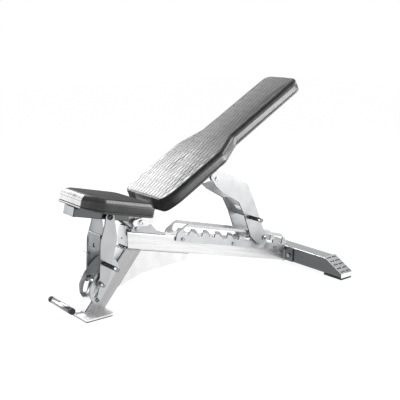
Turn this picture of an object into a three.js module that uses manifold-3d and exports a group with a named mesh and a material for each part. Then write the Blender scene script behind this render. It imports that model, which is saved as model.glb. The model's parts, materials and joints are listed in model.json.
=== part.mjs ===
// Adjustable weight bench, lengths in millimetres and angles in degrees.
//
// X runs from the front foot to the rear foot, Y across the bench and Z up from the floor.
// All the sizes below are laid out with x = 0 at the front edge of the front foot plate. The
// finished group is moved so that the origin lies on the floor in the middle of the footprint.
// Side views are drawn as [x, z] or [x, z, corner radius] and extruded across the bench.

import * as THREE from 'three';
import { mergeVertices } from 'three/addons/utils/BufferGeometryUtils.js';
import Module from 'manifold-3d';

const wasm = await Module();
wasm.setup();

// ---------------------------------------------------------------- driving dimensions

const GAP = 0.3; // between faces that touch
const RUN = 0.4; // radial clearance of a pin in its hole

// square steel tube
const TUBE = 70;
const TUBE_WALL = 3;
const TUBE_CORNER = 7;

// main beam, falling towards the rear
const BEAM_SLOPE = 14.26;
const BEAM_FRONT_X = 226;
const BEAM_FRONT_Z = 298;
const CAP_THICKNESS = 4;
const CAP_HOLE_RADIUS = 4;
const CAP_HOLE_RAISE = 0;
const CAP_HALF = 33;
const CAP_GAP_BELOW = 10; // open part of the tube's end under the cap
const CAP_SHOULDER = 44; // height of the cap's slanting top corners
const TONGUE_HALF = 17; // the cap's top is folded back over the beam as a tongue
const TONGUE_LENGTH = 38;
const TONGUE_RAISE = 9;
const TONGUE_THICKNESS = 11;

// front foot and its leg
const FRONT_PLATE_LENGTH = 122;
const FRONT_PLATE_WIDTH = 200;
const FRONT_PLATE_THICKNESS = 7;
const FRONT_RUBBER_THICKNESS = 4;
const FRONT_PLATE_CORNER = 14;
const LEG_ANGLE = 49.3;
const LEG_FOOT_X = 76;

// transport handle in front of the foot
const HANDLE_X = -46;
const HANDLE_Z = 52;
const HANDLE_RADIUS = 12.5;
const HANDLE_LENGTH = 172;
const HANDLE_CAP_LENGTH = 16;
const STRAP_WIDTH = 40;
const STRAP_THICKNESS = 6;

// rear foot
const REAR_FOOT_FRONT_X = 1092;
const REAR_FOOT_LENGTH = 742;
const REAR_RUBBER_THICKNESS = 9;
const REAR_RUBBER_LENGTH = 100;
const WEDGE_LENGTH = 98;
const WEDGE_END_HEIGHT = 18;
const TREAD_THICKNESS = 2;
const TREAD_MARGIN = 5;
const TREAD_ROWS = 5;
const TREAD_RIB_LENGTH = 24;
const TREAD_RIB_WIDTH = 6;
const TREAD_RIB_HEIGHT = 2.2;

// flange between beam and rear foot
const FLANGE_WIDTH = 172;
const FLANGE_THICKNESS = 6;
const FLANGE_BOLT_Y = 64;
const FLANGE_BOLT_RAISE = 31;
const FLANGE_BOLT_RADIUS = 6;
const FLANGE_BOLT_HEAD_RADIUS = 10;
const FLANGE_BOLT_HEAD = 7;

// plates of the frame
const GUSSET_THICKNESS = 6;
const GUSSET_INSET = 4;
const GUSSET_ALONG_BEAM = 250;
const GUSSET_ALONG_LEG = 168;
const GUSSET_DROP = 30;

// toothed rack, laid out along the beam from its front top edge
const RACK_THICKNESS = 6;
const RACK_START = 243;
const RACK_END = 886;
const RACK_HEIGHT = 54;
const RACK_OVERLAP = 21;
const RACK_RAIL = 12;
const RACK_REAR_CHAMFER = 44;
const TOOTH_PITCH = 70.3;
const TOOTH_COUNT = 8;
const TOOTH_TOP = 23;
const TOOTH_DEPTH = 15;
const TOOTH_TIP = 20;
const TOOTH_RAMP = 20;
const FIRST_TOOTH = 307.5;
const FIRST_POCKET = 32;
const RACK_BOLT_POSITIONS = [279, 561, 819];
const RACK_BOLT_DROP = 11;
const RACK_BOLT_RADIUS = 5;
const RACK_BOLT_HEAD_RADIUS = 9;
const RACK_BOLT_HEAD = 5;

// lock pin, its rest position along the beam
const LOCK_PIN_RADIUS = 6;
const LOCK_PIN_REST = 722.8;
const LOCK_PIN_CLEARANCE = 1.2;
const FLAT_PIN_POSITION = 850.8;
const LOCK_PIN_END = 7;

// pivot bracket on the front of the beam
const SEAT_PIVOT = [274, 299];
const BACK_PIVOT = [285, 325];
const PIVOT_RADIUS = 7;
const SEAT_PIVOT_RADIUS = 5;
const SEAT_EYE_RADIUS = 10.5;
const PIVOT_HEAD_RADIUS = 12;
const PIVOT_HEAD = 6;
const SEAT_PIVOT_HEAD = 5;
const LUG_THICKNESS = 6;
const BRACKET_BASE = 5;
const BRACKET_START = 22;
const BRACKET_BASE_START = 64;
const BRACKET_END = 152;
const BRACKET_BASE_END = 192;

// seat
const SEAT_ANGLE = 13.5;
const SEAT_CORNER = [3, 426];
const SEAT_LENGTH = 292;
const SEAT_WIDTH = 278;
const SEAT_THICKNESS = 52;
const SEAT_CHAMFER = 59;
const SEAT_CORNER_RADIUS = 26;
const SEAT_FRONT_RADIUS = 10;
const PAD_EDGE = 10;
const CARRIER_WIDTH = 72;
const CARRIER_HEIGHT = 34;
const CARRIER_LENGTH = 246;
const CARRIER_WALL = 3;
const CARRIER_TOP = 0;
const CARRIER_LOW = CARRIER_TOP - CARRIER_HEIGHT;
const SEAT_SCREW_POSITIONS = [26, 196];
const SCREW_RADIUS = 4;
const SCREW_HEAD_RADIUS = 8;
const SCREW_HEAD = 5;
const HINGE_DEPTH = 24;
const HINGE_TAB = 22;
const HINGE_EYE_FROM = 205;
const HINGE_EYE_TO = 375;

// seat strut
const STRUT_TOP = [145, 371];
const STRUT_BOTTOM = [93, 119];
const STRUT_THICKNESS = 8;
const STRUT_INNER = 43;
const STRUT_OUTER = STRUT_INNER + STRUT_THICKNESS;
const STRUT_PIN_RADIUS = 8;
const STRUT_PIN_HALF = 78;
const STRUT_COLLAR = 4;
const STRUT_BOLT_HEAD_RADIUS = 12;
const STRUT_BOLT_HEAD = 7;
const SEAT_TRAVEL = 13.5;
const SLOT_EXTRA = 4.5;
const SLOT_CLEARANCE = 2.5;
const SLOT_PLATE_THICKNESS = 5;
const SLOT_BOLT = [84, 54];
const SLOT_BOLT_HEAD_RADIUS = 9;
const SLOT_BOLT_HEAD = 6;

// grips on the strut and on the arm
const GRIP_RADIUS = 8.5;
const GRIP_ROD_RADIUS = 5;
const GRIP_TIP_RADIUS = 9.5;
const GRIP_TIP = 14;
const SEAT_GRIP = [112, 196];
const SEAT_GRIP_LENGTH = 98;
const STRUT_STUB = [104, 218];
const STRUT_STUB_RADIUS = 4;
const STRUT_STUB_LENGTH = 34;
const ARM_GRIP = [850, 256];
const ARM_GRIP_LENGTH = 74;

// backrest
const BACK_ANGLE = 29.5;
const BACK_CORNER = [356, 374];
const BACK_LENGTH = 850;
const BACK_THICKNESS = 54;
const BACK_HIP_WIDTH = 284;
const BACK_HEAD_WIDTH = 190;
const BACK_NECK_START = 320;
const BACK_NECK_END = 425;
const BACK_CORNER_RADIUS = 30;
const RAIL_DEPTH = 44;
const RAIL_LENGTH = 560;
const RAIL_NECK = 385;
const RAIL_TAIL_DEPTH = 20;
const RAIL_THICKNESS = 6;
const RAIL_INNER = 42.3;
const CROSS_BAR_POSITIONS = [40, 470];
const CROSS_BAR_WIDTH = 34;
const CROSS_BAR_HEIGHT = 18;

// support arm
const ARM_PIVOT = [660, 450];
const ARM_INNER = 49;
const ARM_THICKNESS = 6;
const ARM_BOLT_RADIUS = 6;
const ARM_BOLT_HEAD_RADIUS = 10;
const ARM_BOLT_HEAD = 5;
const WEB_THICKNESS = 4;
const WEB_TOP_FROM_PIVOT = [142, -116];
const WEB_BOTTOM_FROM_PIN = [-70, 102];
const WEB_HOLE_WIDTH = 44;
const WEB_HOLE_HEIGHT = 26;

// ---------------------------------------------------------------- materials

const steel = (name, color, roughness, metalness) => () =>
  new THREE.MeshStandardMaterial({ name, color, roughness, metalness });
const BRUSHED = steel('brushed_steel', 0xd2d3d4, 0.35, 1);
const PLATE = steel('plate_steel', 0xc6c8c9, 0.4, 1);
const CHROME = steel('chrome', 0xe6e8ea, 0.08, 1);
const BOLT = steel('bolt_steel', 0x9a9c9e, 0.3, 1);
const RUBBER = steel('rubber', 0x17181a, 0.85, 0);
const VINYL = steel('vinyl', 0x2b2c2e, 0.35, 0);

// ---------------------------------------------------------------- geometry helpers

const rad = THREE.MathUtils.degToRad;
const bench = new THREE.Group();

function turned([x, z], [centreX, centreZ], degrees) {
  const c = Math.cos(rad(degrees));
  const s = Math.sin(rad(degrees));
  const dx = x - centreX;
  const dz = z - centreZ;
  return [centreX + dx * c - dz * s, centreZ + dx * s + dz * c];
}

// a point given along and above a line that starts at origin and rises by degrees
function along(origin, degrees, distance, height = 0) {
  return turned([origin[0] + distance, origin[1] + height], origin, degrees);
}

const onBeam = (distance, height) => {
  return along([BEAM_FRONT_X, BEAM_FRONT_Z], -BEAM_SLOPE, distance, height);
};
const onSeat = (distance, height) => along(SEAT_CORNER, -SEAT_ANGLE, distance, height);
const onBack = (distance, height) => along(BACK_CORNER, BACK_ANGLE, distance, height);

// corner points, rounded where a third number gives a radius
function rounded(corners, step = 22.5) {
  const points = [];
  corners.forEach(([x, z, radius = 0], i) => {
    const here = new THREE.Vector2(x, z);
    if (radius === 0) {
      points.push(here);
      return;
    }
    const [beforeX, beforeZ] = corners.at(i - 1);
    const [afterX, afterZ] = corners[(i + 1) % corners.length];
    const before = new THREE.Vector2(beforeX, beforeZ).sub(here).normalize();
    const after = new THREE.Vector2(afterX, afterZ).sub(here).normalize();
    const half = Math.acos(THREE.MathUtils.clamp(before.dot(after), -1, 1)) / 2;
    const centre = before.clone().add(after).normalize();
    centre.multiplyScalar(radius / Math.sin(half)).add(here);
    const start = before.multiplyScalar(radius / Math.tan(half)).add(here).sub(centre);
    const end = after.multiplyScalar(radius / Math.tan(half)).add(here).sub(centre);
    const sweep = Math.atan2(start.cross(end), start.dot(end));
    const pieces = Math.max(2, Math.ceil(Math.abs(sweep) / rad(step)));
    for (let k = 0; k <= pieces; k += 1) {
      points.push(start.clone().rotateAround(new THREE.Vector2(), (sweep * k) / pieces).add(centre));
    }
  });
  return points;
}

function circle([x, z], radius, sides = 20) {
  return Array.from({ length: sides }, (_, k) => {
    const angle = (2 * Math.PI * k) / sides;
    return new THREE.Vector2(x + radius * Math.cos(angle), z + radius * Math.sin(angle));
  });
}

// a side view extruded across the bench between two y values
function plate(points, fromY, toY, holes = []) {
  const shape = new THREE.Shape(points);
  shape.holes = holes.map((hole) => new THREE.Path(hole));
  const geometry = new THREE.ExtrudeGeometry(shape, { depth: toY - fromY, bevelEnabled: false });
  geometry.rotateX(Math.PI / 2);
  geometry.translate(0, toY, 0);
  return geometry;
}

// a plate on one side of the bench: inner and outer are distances from the middle
function sidePlate(side, points, inner, outer, holes = []) {
  return side > 0 ? plate(points, inner, outer, holes) : plate(points, -outer, -inner, holes);
}

// a round bar across the bench
function crossBar([x, z], radius, fromY, toY, sides = 20) {
  const geometry = new THREE.CylinderGeometry(radius, radius, toY - fromY, sides);
  geometry.translate(x, (fromY + toY) / 2, z);
  return geometry;
}

function sideBar(side, centre, radius, inner, outer, sides = 20) {
  const ends = side > 0 ? [inner, outer] : [-outer, -inner];
  return crossBar(centre, radius, ends[0], ends[1], sides);
}

function solid(geometry) {
  const bare = geometry.clone();
  bare.deleteAttribute('normal');
  bare.deleteAttribute('uv');
  const merged = mergeVertices(bare, 1e-4);
  const mesh = new wasm.Mesh({
    numProp: 3,
    vertProperties: new Float32Array(merged.attributes.position.array),
    triVerts: new Uint32Array(merged.index.array),
  });
  return new wasm.Manifold(mesh);
}

function geometryOf(body) {
  const mesh = body.getMesh();
  const geometry = new THREE.BufferGeometry();
  geometry.setAttribute('position', new THREE.BufferAttribute(mesh.vertProperties, 3));
  geometry.setIndex(new THREE.BufferAttribute(mesh.triVerts, 1));
  geometry.computeVertexNormals();
  return geometry;
}

const join = (...parts) => geometryOf(parts.map(solid).reduce((a, b) => a.add(b)));
const cut = (base, ...tools) => geometryOf(tools.map(solid).reduce((a, b) => a.subtract(b), solid(base)));

function add(name, geometry, material) {
  const mesh = new THREE.Mesh(geometry, material());
  mesh.name = name;
  bench.add(mesh);
}

function bothSides(make) {
  make(-1, 'near');
  make(1, 'far');
}

// a square tube whose centre line runs through a point of the side view
function squareTube(width, height, wall, corner, length) {
  const w = width / 2;
  const h = height / 2;
  const ring = (x, y, r) => rounded([[-x, -y, r], [x, -y, r], [x, y, r], [-x, y, r]]);
  const shape = new THREE.Shape(ring(w, h, corner));
  shape.holes = [new THREE.Path(ring(w - wall, h - wall, corner - wall))];
  const geometry = new THREE.ExtrudeGeometry(shape, { depth: length, bevelEnabled: false });
  // the width lies along Y, the height along Z and the length along X
  geometry.applyMatrix4(new THREE.Matrix4().set(0, 0, 1, 0, 1, 0, 0, 0, 0, 1, 0, 0, 0, 0, 0, 1));
  return geometry;
}

function placeTube(geometry, start, degrees) {
  geometry.rotateY(-rad(degrees));
  geometry.translate(start[0], 0, start[1]);
  return geometry;
}

// a bolt across the bench: shank with a hexagonal head on each end
function throughBolt(centre, shankRadius, shankHalf, headRadius, headHeight) {
  return join(
    crossBar(centre, shankRadius, -shankHalf - headHeight / 2, shankHalf + headHeight / 2, 16),
    crossBar(centre, headRadius, shankHalf + GAP, shankHalf + headHeight, 6),
    crossBar(centre, headRadius, -shankHalf - headHeight, -shankHalf - GAP, 6),
  );
}

// a soft pad: plan outline [distance, y] on a sloping seat line, with rounded long edges
function pad(plan, thickness, origin, degrees) {
  const shape = new THREE.Shape(plan);
  const geometry = new THREE.ExtrudeGeometry(shape, {
    depth: thickness - 2 * PAD_EDGE,
    bevelThickness: PAD_EDGE,
    bevelSize: PAD_EDGE,
    bevelOffset: -PAD_EDGE,
    bevelSegments: 2,
  });
  geometry.translate(0, 0, PAD_EDGE + GAP);
  return placeTube(geometry, origin, degrees);
}

// ---------------------------------------------------------------- front foot

const FRONT_PLATE_TOP = FRONT_RUBBER_THICKNESS + FRONT_PLATE_THICKNESS;
const LEG_HALF = TUBE / 2;

function frontFoot() {
  const w = FRONT_PLATE_WIDTH / 2;
  const footprint = (inset) => rounded([
    [inset, -w + inset, 4],
    [FRONT_PLATE_LENGTH - inset, -w + inset, FRONT_PLATE_CORNER],
    [FRONT_PLATE_LENGTH - inset, w - inset, FRONT_PLATE_CORNER],
    [inset, w - inset, 4],
  ]);
  const slab = (inset, low, high) => {
    const shape = new THREE.Shape(footprint(inset));
    const geometry = new THREE.ExtrudeGeometry(shape, { depth: high - low, bevelEnabled: false });
    geometry.translate(0, 0, low);
    return geometry;
  };
  add('front_foot_rubber', slab(1, 0, FRONT_RUBBER_THICKNESS), RUBBER);
  add('front_foot_plate', slab(0, FRONT_RUBBER_THICKNESS + GAP, FRONT_PLATE_TOP), BRUSHED);
}

const LEG_FOOT = [LEG_FOOT_X, FRONT_PLATE_TOP];
const BEAM_AXIS_FRONT = onBeam(0, -TUBE / 2);

// where the leg's centre line meets the underside of the beam
function legTop() {
  const [x0, z0] = onBeam(0, -TUBE - GAP);
  const legSlope = Math.tan(rad(LEG_ANGLE));
  const beamSlope = -Math.tan(rad(BEAM_SLOPE));
  const x = (z0 - LEG_FOOT[1] + legSlope * LEG_FOOT[0] - beamSlope * x0) / (legSlope - beamSlope);
  return [x, LEG_FOOT[1] + legSlope * (x - LEG_FOOT[0])];
}
const LEG_TOP = legTop();

// everything in the side view on one side of a sloping line, as a cutting block
function blockAbove(point, degrees) {
  const reach = 2 * TUBE;
  const corner = (d, h) => along(point, degrees, d, h);
  const points = [corner(-reach, 0), corner(reach, 0), corner(reach, reach), corner(-reach, reach)];
  return plate(points.map(([x, z]) => new THREE.Vector2(x, z)), -TUBE, TUBE);
}

function frontLeg() {
  const length = Math.hypot(LEG_TOP[0] - LEG_FOOT[0], LEG_TOP[1] - LEG_FOOT[1]);
  const tube = squareTube(TUBE, TUBE, TUBE_WALL, TUBE_CORNER, length + 2 * TUBE);
  placeTube(tube, along(LEG_FOOT, LEG_ANGLE, -TUBE), LEG_ANGLE);
  const floorCut = blockAbove([LEG_FOOT[0], FRONT_PLATE_TOP + GAP], 180);
  const beamCut = blockAbove(LEG_TOP, -BEAM_SLOPE);
  const bolt = crossBar(SLOT_BOLT, RACK_BOLT_RADIUS + RUN, -TUBE, TUBE, 16);
  add('front_leg', cut(tube, floorCut, beamCut, bolt), BRUSHED);
}

function gussets() {
  const legRear = (distance) => along(LEG_FOOT, LEG_ANGLE, distance, -LEG_HALF - GAP);
  const corner = legRearAtBeam();
  const rearOnBeam = [
    corner[0] + GUSSET_ALONG_BEAM * Math.cos(rad(BEAM_SLOPE)),
    corner[1] - GUSSET_ALONG_BEAM * Math.sin(rad(BEAM_SLOPE)),
  ];
  const legLength = Math.hypot(corner[0] - legRear(0)[0], corner[1] - legRear(0)[1]);
  const low = legRear(legLength - GUSSET_ALONG_LEG);
  const heel = [rearOnBeam[0] - GUSSET_DROP * 0.8, rearOnBeam[1] - GUSSET_DROP * 0.75];
  const waist = [corner[0] + 6, corner[1] - 94];
  const outer = TUBE / 2 - GUSSET_INSET;
  const points = rounded([
    [corner[0], corner[1]],
    [low[0], low[1]],
    [low[0] + 12, low[1] + 2, 3],
    [waist[0], waist[1], 60],
    [heel[0], heel[1], 6],
    [rearOnBeam[0], rearOnBeam[1], 2],
  ]);
  bothSides((side, label) => {
    const geometry = sidePlate(side, points, outer - GUSSET_THICKNESS, outer);
    add(`leg_gusset_${label}`, geometry, PLATE);
  });
}

// where the rear face of the leg meets the underside of the beam, inside both gaps
function legRearAtBeam() {
  const [bx, bz] = onBeam(0, -TUBE - 2 * GAP);
  const [lx, lz] = along(LEG_FOOT, LEG_ANGLE, 0, -LEG_HALF - GAP);
  const legSlope = Math.tan(rad(LEG_ANGLE));
  const beamSlope = -Math.tan(rad(BEAM_SLOPE));
  const x = (bz - lz + legSlope * lx - beamSlope * bx) / (legSlope - beamSlope);
  return [x, lz + legSlope * (x - lx)];
}

// ---------------------------------------------------------------- transport handle

function transportHandle() {
  const half = HANDLE_LENGTH / 2;
  const axis = [HANDLE_X, HANDLE_Z];
  const tubeHalf = half - HANDLE_CAP_LENGTH;
  const outside = crossBar(axis, HANDLE_RADIUS, -tubeHalf, tubeHalf);
  const bore = crossBar(axis, HANDLE_RADIUS - 2, -half, half);
  add('transport_handle', cut(outside, bore), CHROME);
  bothSides((side, label) => {
    const collar = sideBar(side, axis, HANDLE_RADIUS, tubeHalf + GAP, half);
    const plug = sideBar(side, axis, HANDLE_RADIUS - 2 - RUN, tubeHalf - 20, half - 1);
    add(`handle_cap_${label}`, join(collar, plug), RUBBER);
  });
  const t = STRAP_THICKNESS;
  const z = FRONT_PLATE_TOP + GAP;
  const strap = plate(rounded([
    [26, z],
    [26, z + t],
    [2, z + t, 6],
    [HANDLE_X + 4, HANDLE_Z - 2],
    [HANDLE_X - 3, HANDLE_Z - 8],
    [-2, z, 10],
  ]), -STRAP_WIDTH / 2, STRAP_WIDTH / 2);
  const seat = crossBar(axis, HANDLE_RADIUS + GAP, -half, half);
  add('handle_strap', cut(strap, seat), PLATE);
}

// ---------------------------------------------------------------- rear foot

const REAR_FOOT_LOW = REAR_RUBBER_THICKNESS;
const REAR_FOOT_TOP = REAR_FOOT_LOW + TUBE;
const REAR_FOOT_HALF = REAR_FOOT_LENGTH / 2;

function rearFoot() {
  const wedgeZ = REAR_FOOT_LOW + WEDGE_END_HEIGHT;
  const wedgeY = REAR_FOOT_HALF - WEDGE_LENGTH;
  const tube = squareTube(TUBE, TUBE, TUBE_WALL, TUBE_CORNER, REAR_FOOT_LENGTH);
  tube.rotateZ(Math.PI / 2);
  tube.translate(REAR_FOOT_FRONT_X + TUBE / 2, -REAR_FOOT_HALF, REAR_FOOT_LOW + TUBE / 2);
  const slope = (side) => {
    const shape = new THREE.Shape([
      new THREE.Vector2(side * wedgeY, REAR_FOOT_TOP),
      new THREE.Vector2(side * REAR_FOOT_HALF, wedgeZ),
      new THREE.Vector2(side * (REAR_FOOT_HALF + 5), wedgeZ),
      new THREE.Vector2(side * (REAR_FOOT_HALF + 5), REAR_FOOT_TOP + 5),
      new THREE.Vector2(side * wedgeY, REAR_FOOT_TOP + 5),
    ]);
    const block = new THREE.ExtrudeGeometry(shape, { depth: 2 * TUBE, bevelEnabled: false });
    // the outline lies in Y and Z, and the depth runs along X
    block.applyMatrix4(new THREE.Matrix4().set(0, 0, 1, 0, 1, 0, 0, 0, 0, 1, 0, 0, 0, 0, 0, 1));
    block.translate(REAR_FOOT_FRONT_X - TUBE / 2, 0, 0);
    return block;
  };
  const boltHoles = [-1, 1].map((side) => flangeBoltBar(side, FLANGE_BOLT_RADIUS + RUN, -20, 20));
  add('rear_foot', cut(tube, slope(1), slope(-1), ...boltHoles), BRUSHED);
  bothSides((side, label) => {
    const rubber = new THREE.BoxGeometry(TUBE - 4, REAR_RUBBER_LENGTH, REAR_FOOT_LOW - GAP);
    const y = side * (REAR_FOOT_HALF - REAR_RUBBER_LENGTH / 2);
    rubber.translate(REAR_FOOT_FRONT_X + TUBE / 2, y, (REAR_FOOT_LOW - GAP) / 2);
    add(`rear_foot_rubber_${label}`, rubber, RUBBER);
    add(`rear_foot_tread_${label}`, tread(side, wedgeY, wedgeZ), PLATE);
  });
}

// a bent plate that closes the end of the rear foot, with pairs of raised ribs on its slope
function tread(side, wedgeY, wedgeZ) {
  const drop = REAR_FOOT_TOP - wedgeZ;
  const slant = Math.hypot(WEDGE_LENGTH, drop);
  const angle = Math.atan2(drop, WEDGE_LENGTH);
  // a point over the slope at a distance from the middle of the bench, lifted off the slope
  const over = (y, lift) => {
    const z = wedgeZ + (REAR_FOOT_HALF - y) * Math.tan(angle) + lift / Math.cos(angle);
    return new THREE.Vector2(side * y, z);
  };
  const inner = REAR_FOOT_HALF + GAP;
  const outer = inner + TREAD_THICKNESS;
  const bend = new THREE.ExtrudeGeometry(new THREE.Shape([
    over(wedgeY, GAP),
    over(inner, GAP),
    new THREE.Vector2(side * inner, REAR_FOOT_LOW),
    new THREE.Vector2(side * outer, REAR_FOOT_LOW),
    over(outer, GAP + TREAD_THICKNESS),
    over(wedgeY, GAP + TREAD_THICKNESS),
  ]), { depth: TUBE, bevelEnabled: false });
  // the outline lies in Y and Z, and the depth runs along X
  bend.applyMatrix4(new THREE.Matrix4().set(0, 0, 1, 0, 1, 0, 0, 0, 0, 1, 0, 0, 0, 0, 0, 1));
  bend.translate(REAR_FOOT_FRONT_X, 0, 0);
  const ribs = [];
  const step = (slant - 4 * TREAD_MARGIN) / (TREAD_ROWS - 1);
  const lift = GAP + TREAD_THICKNESS;
  for (let row = 0; row < TREAD_ROWS; row += 1) {
    for (const half of [-1, 1]) {
      const rib = new THREE.CylinderGeometry(1, 1, TREAD_RIB_LENGTH, 8);
      rib.rotateZ(Math.PI / 2);
      rib.scale(1, TREAD_RIB_WIDTH / 2, TREAD_RIB_HEIGHT);
      rib.translate(half * TUBE * 0.24, (row - (TREAD_ROWS - 1) / 2) * step, 0);
      rib.rotateX(-side * angle);
      rib.translate(
        REAR_FOOT_FRONT_X + TUBE / 2,
        side * (wedgeY + WEDGE_LENGTH / 2 + lift * Math.sin(angle)),
        (REAR_FOOT_TOP + wedgeZ) / 2 + lift * Math.cos(angle),
      );
      ribs.push(rib);
    }
  }
  return join(bend, ...ribs);
}

// ---------------------------------------------------------------- main beam and flange

const FLANGE_FRONT_X = REAR_FOOT_FRONT_X - GAP - FLANGE_THICKNESS;
const FLANGE_LOW = REAR_FOOT_LOW + 3;
const FLANGE_HIGH = REAR_FOOT_TOP - 3;

// a round bar along X on one of the flange's bolt lines
function flangeBoltBar(side, radius, before, after, sides = 16) {
  const bar = new THREE.CylinderGeometry(radius, radius, after - before, sides);
  bar.rotateZ(Math.PI / 2);
  const x = REAR_FOOT_FRONT_X + (before + after) / 2;
  bar.translate(x, side * FLANGE_BOLT_Y, REAR_FOOT_LOW + FLANGE_BOLT_RAISE);
  return bar;
}

function rearFlange() {
  const flange = new THREE.BoxGeometry(FLANGE_THICKNESS, FLANGE_WIDTH, FLANGE_HIGH - FLANGE_LOW);
  flange.translate(FLANGE_FRONT_X + FLANGE_THICKNESS / 2, 0, (FLANGE_HIGH + FLANGE_LOW) / 2);
  const holes = [-1, 1].map((side) => flangeBoltBar(side, FLANGE_BOLT_RADIUS + RUN, -20, 20));
  add('rear_flange', cut(flange, ...holes), PLATE);
  bothSides((side, label) => {
    const seat = -GAP - FLANGE_THICKNESS - GAP;
    const head = flangeBoltBar(side, FLANGE_BOLT_HEAD_RADIUS, seat - FLANGE_BOLT_HEAD, seat, 6);
    const shank = flangeBoltBar(side, FLANGE_BOLT_RADIUS, seat - 3, 18);
    add(`flange_bolt_${label}`, join(head, shank), BOLT);
  });
}

function mainBeam() {
  const span = (FLANGE_FRONT_X - BEAM_FRONT_X) / Math.cos(rad(BEAM_SLOPE));
  const tube = squareTube(TUBE, TUBE, TUBE_WALL, TUBE_CORNER, span + 2 * TUBE);
  placeTube(tube, along(BEAM_AXIS_FRONT, -BEAM_SLOPE, -TUBE), -BEAM_SLOPE);
  const frontCut = blockAbove([BEAM_FRONT_X + CAP_THICKNESS + GAP, BEAM_FRONT_Z], 90);
  const rearCut = blockAbove([FLANGE_FRONT_X - GAP, FLANGE_HIGH], -90);
  const holes = RACK_BOLT_POSITIONS.map((distance) => {
    return crossBar(onBeam(distance, -RACK_BOLT_DROP), RACK_BOLT_RADIUS + RUN, -TUBE, TUBE, 16);
  });
  add('main_beam', cut(tube, frontCut, rearCut, ...holes), BRUSHED);
}

function beamCap() {
  const low = BEAM_FRONT_Z - TUBE / Math.cos(rad(BEAM_SLOPE));
  const top = BEAM_FRONT_Z + TONGUE_RAISE + TONGUE_THICKNESS - 2;
  const face = rounded([
    [-CAP_HALF, low + CAP_GAP_BELOW, 3],
    [CAP_HALF, low + CAP_GAP_BELOW, 3],
    [CAP_HALF, top - CAP_SHOULDER, 8],
    [TONGUE_HALF, top],
    [-TONGUE_HALF, top],
    [-CAP_HALF, top - CAP_SHOULDER, 8],
  ]);
  const shape = new THREE.Shape(face);
  const holeAt = [0, (low + BEAM_FRONT_Z) / 2 + CAP_HOLE_RAISE];
  shape.holes = [new THREE.Path(circle(holeAt, CAP_HOLE_RADIUS, 16))];
  const front = new THREE.ExtrudeGeometry(shape, { depth: CAP_THICKNESS, bevelEnabled: false });
  // the outline lies in Y and Z, and the depth runs along X
  front.applyMatrix4(new THREE.Matrix4().set(0, 0, 1, 0, 1, 0, 0, 0, 0, 1, 0, 0, 0, 0, 0, 1));
  front.translate(BEAM_FRONT_X, 0, 0);
  const tongue = plate(rounded([
    [BEAM_FRONT_X, BEAM_FRONT_Z + TONGUE_RAISE],
    onBeam(TONGUE_LENGTH, TONGUE_RAISE),
    [...onBeam(TONGUE_LENGTH, TONGUE_RAISE + TONGUE_THICKNESS), 5],
    [BEAM_FRONT_X, BEAM_FRONT_Z + TONGUE_RAISE + TONGUE_THICKNESS, 5],
  ]), -TONGUE_HALF, TONGUE_HALF);
  const cap = join(front, tongue);
  add('beam_end_cap', cap, BRUSHED);
}

// ---------------------------------------------------------------- rack

const RACK_INNER = TUBE / 2 + GAP;
const RACK_OUTER = RACK_INNER + RACK_THICKNESS;

// height of the lock pin's path above the beam: just over the teeth
const LOCK_PIN_HEIGHT = TOOTH_TOP + LOCK_PIN_RADIUS + LOCK_PIN_CLEARANCE;

function rackWindow() {
  const top = RACK_HEIGHT - RACK_RAIL;
  const bottom = TOOTH_TOP - TOOTH_DEPTH;
  const rear = FLAT_PIN_POSITION + LOCK_PIN_RADIUS + LOCK_PIN_CLEARANCE;
  const rearTop = LOCK_PIN_HEIGHT + LOCK_PIN_RADIUS + LOCK_PIN_CLEARANCE;
  const corners = [
    [FIRST_TOOTH - FIRST_POCKET, top, 15],
    [FIRST_TOOTH - FIRST_POCKET, bottom, 10],
  ];
  for (let i = 0; i < TOOTH_COUNT; i += 1) {
    const wall = FIRST_TOOTH + i * TOOTH_PITCH;
    corners.push([wall, bottom, i === 0 ? 10 : 4]);
    corners.push([wall, TOOTH_TOP, 2]);
    corners.push([wall + TOOTH_TIP, TOOTH_TOP, 2]);
    corners.push([wall + TOOTH_TIP + TOOTH_RAMP, bottom, 4]);
  }
  corners.push([rear, bottom, 4], [rear, rearTop, 3], [rear - 24, top, 6]);
  return rounded(corners).map(({ x, y }) => new THREE.Vector2(...onBeam(x, y)));
}

function racks() {
  const chamferTop = RACK_END - RACK_REAR_CHAMFER;
  const outline = rounded([
    [RACK_START, -RACK_OVERLAP, 6],
    [RACK_END, -RACK_OVERLAP, 4],
    [RACK_END, RACK_HEIGHT - RACK_REAR_CHAMFER * 0.6, 6],
    [chamferTop, RACK_HEIGHT, 10],
    [RACK_START + 45, RACK_HEIGHT, 28],
    [RACK_START, 12, 20],
  ]).map(({ x, y }) => new THREE.Vector2(...onBeam(x, y)));
  const holes = RACK_BOLT_POSITIONS.map((distance) => {
    return circle(onBeam(distance, -RACK_BOLT_DROP), RACK_BOLT_RADIUS + RUN, 16);
  });
  const window = rackWindow();
  bothSides((side, label) => {
    const geometry = sidePlate(side, outline, RACK_INNER, RACK_OUTER, [window, ...holes]);
    add(`rack_${label}`, geometry, PLATE);
  });
  RACK_BOLT_POSITIONS.forEach((distance, i) => {
    const centre = onBeam(distance, -RACK_BOLT_DROP);
    const name = ['front', 'middle', 'rear'][i] ?? `extra_${i}`;
    const bolt = throughBolt(centre, RACK_BOLT_RADIUS, RACK_OUTER, RACK_BOLT_HEAD_RADIUS, RACK_BOLT_HEAD);
    add(`rack_bolt_${name}`, bolt, BOLT);
  });
}

// ---------------------------------------------------------------- pivots

const LUG_OUTER = TUBE / 2;
const LUG_INNER = LUG_OUTER - LUG_THICKNESS;

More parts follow.
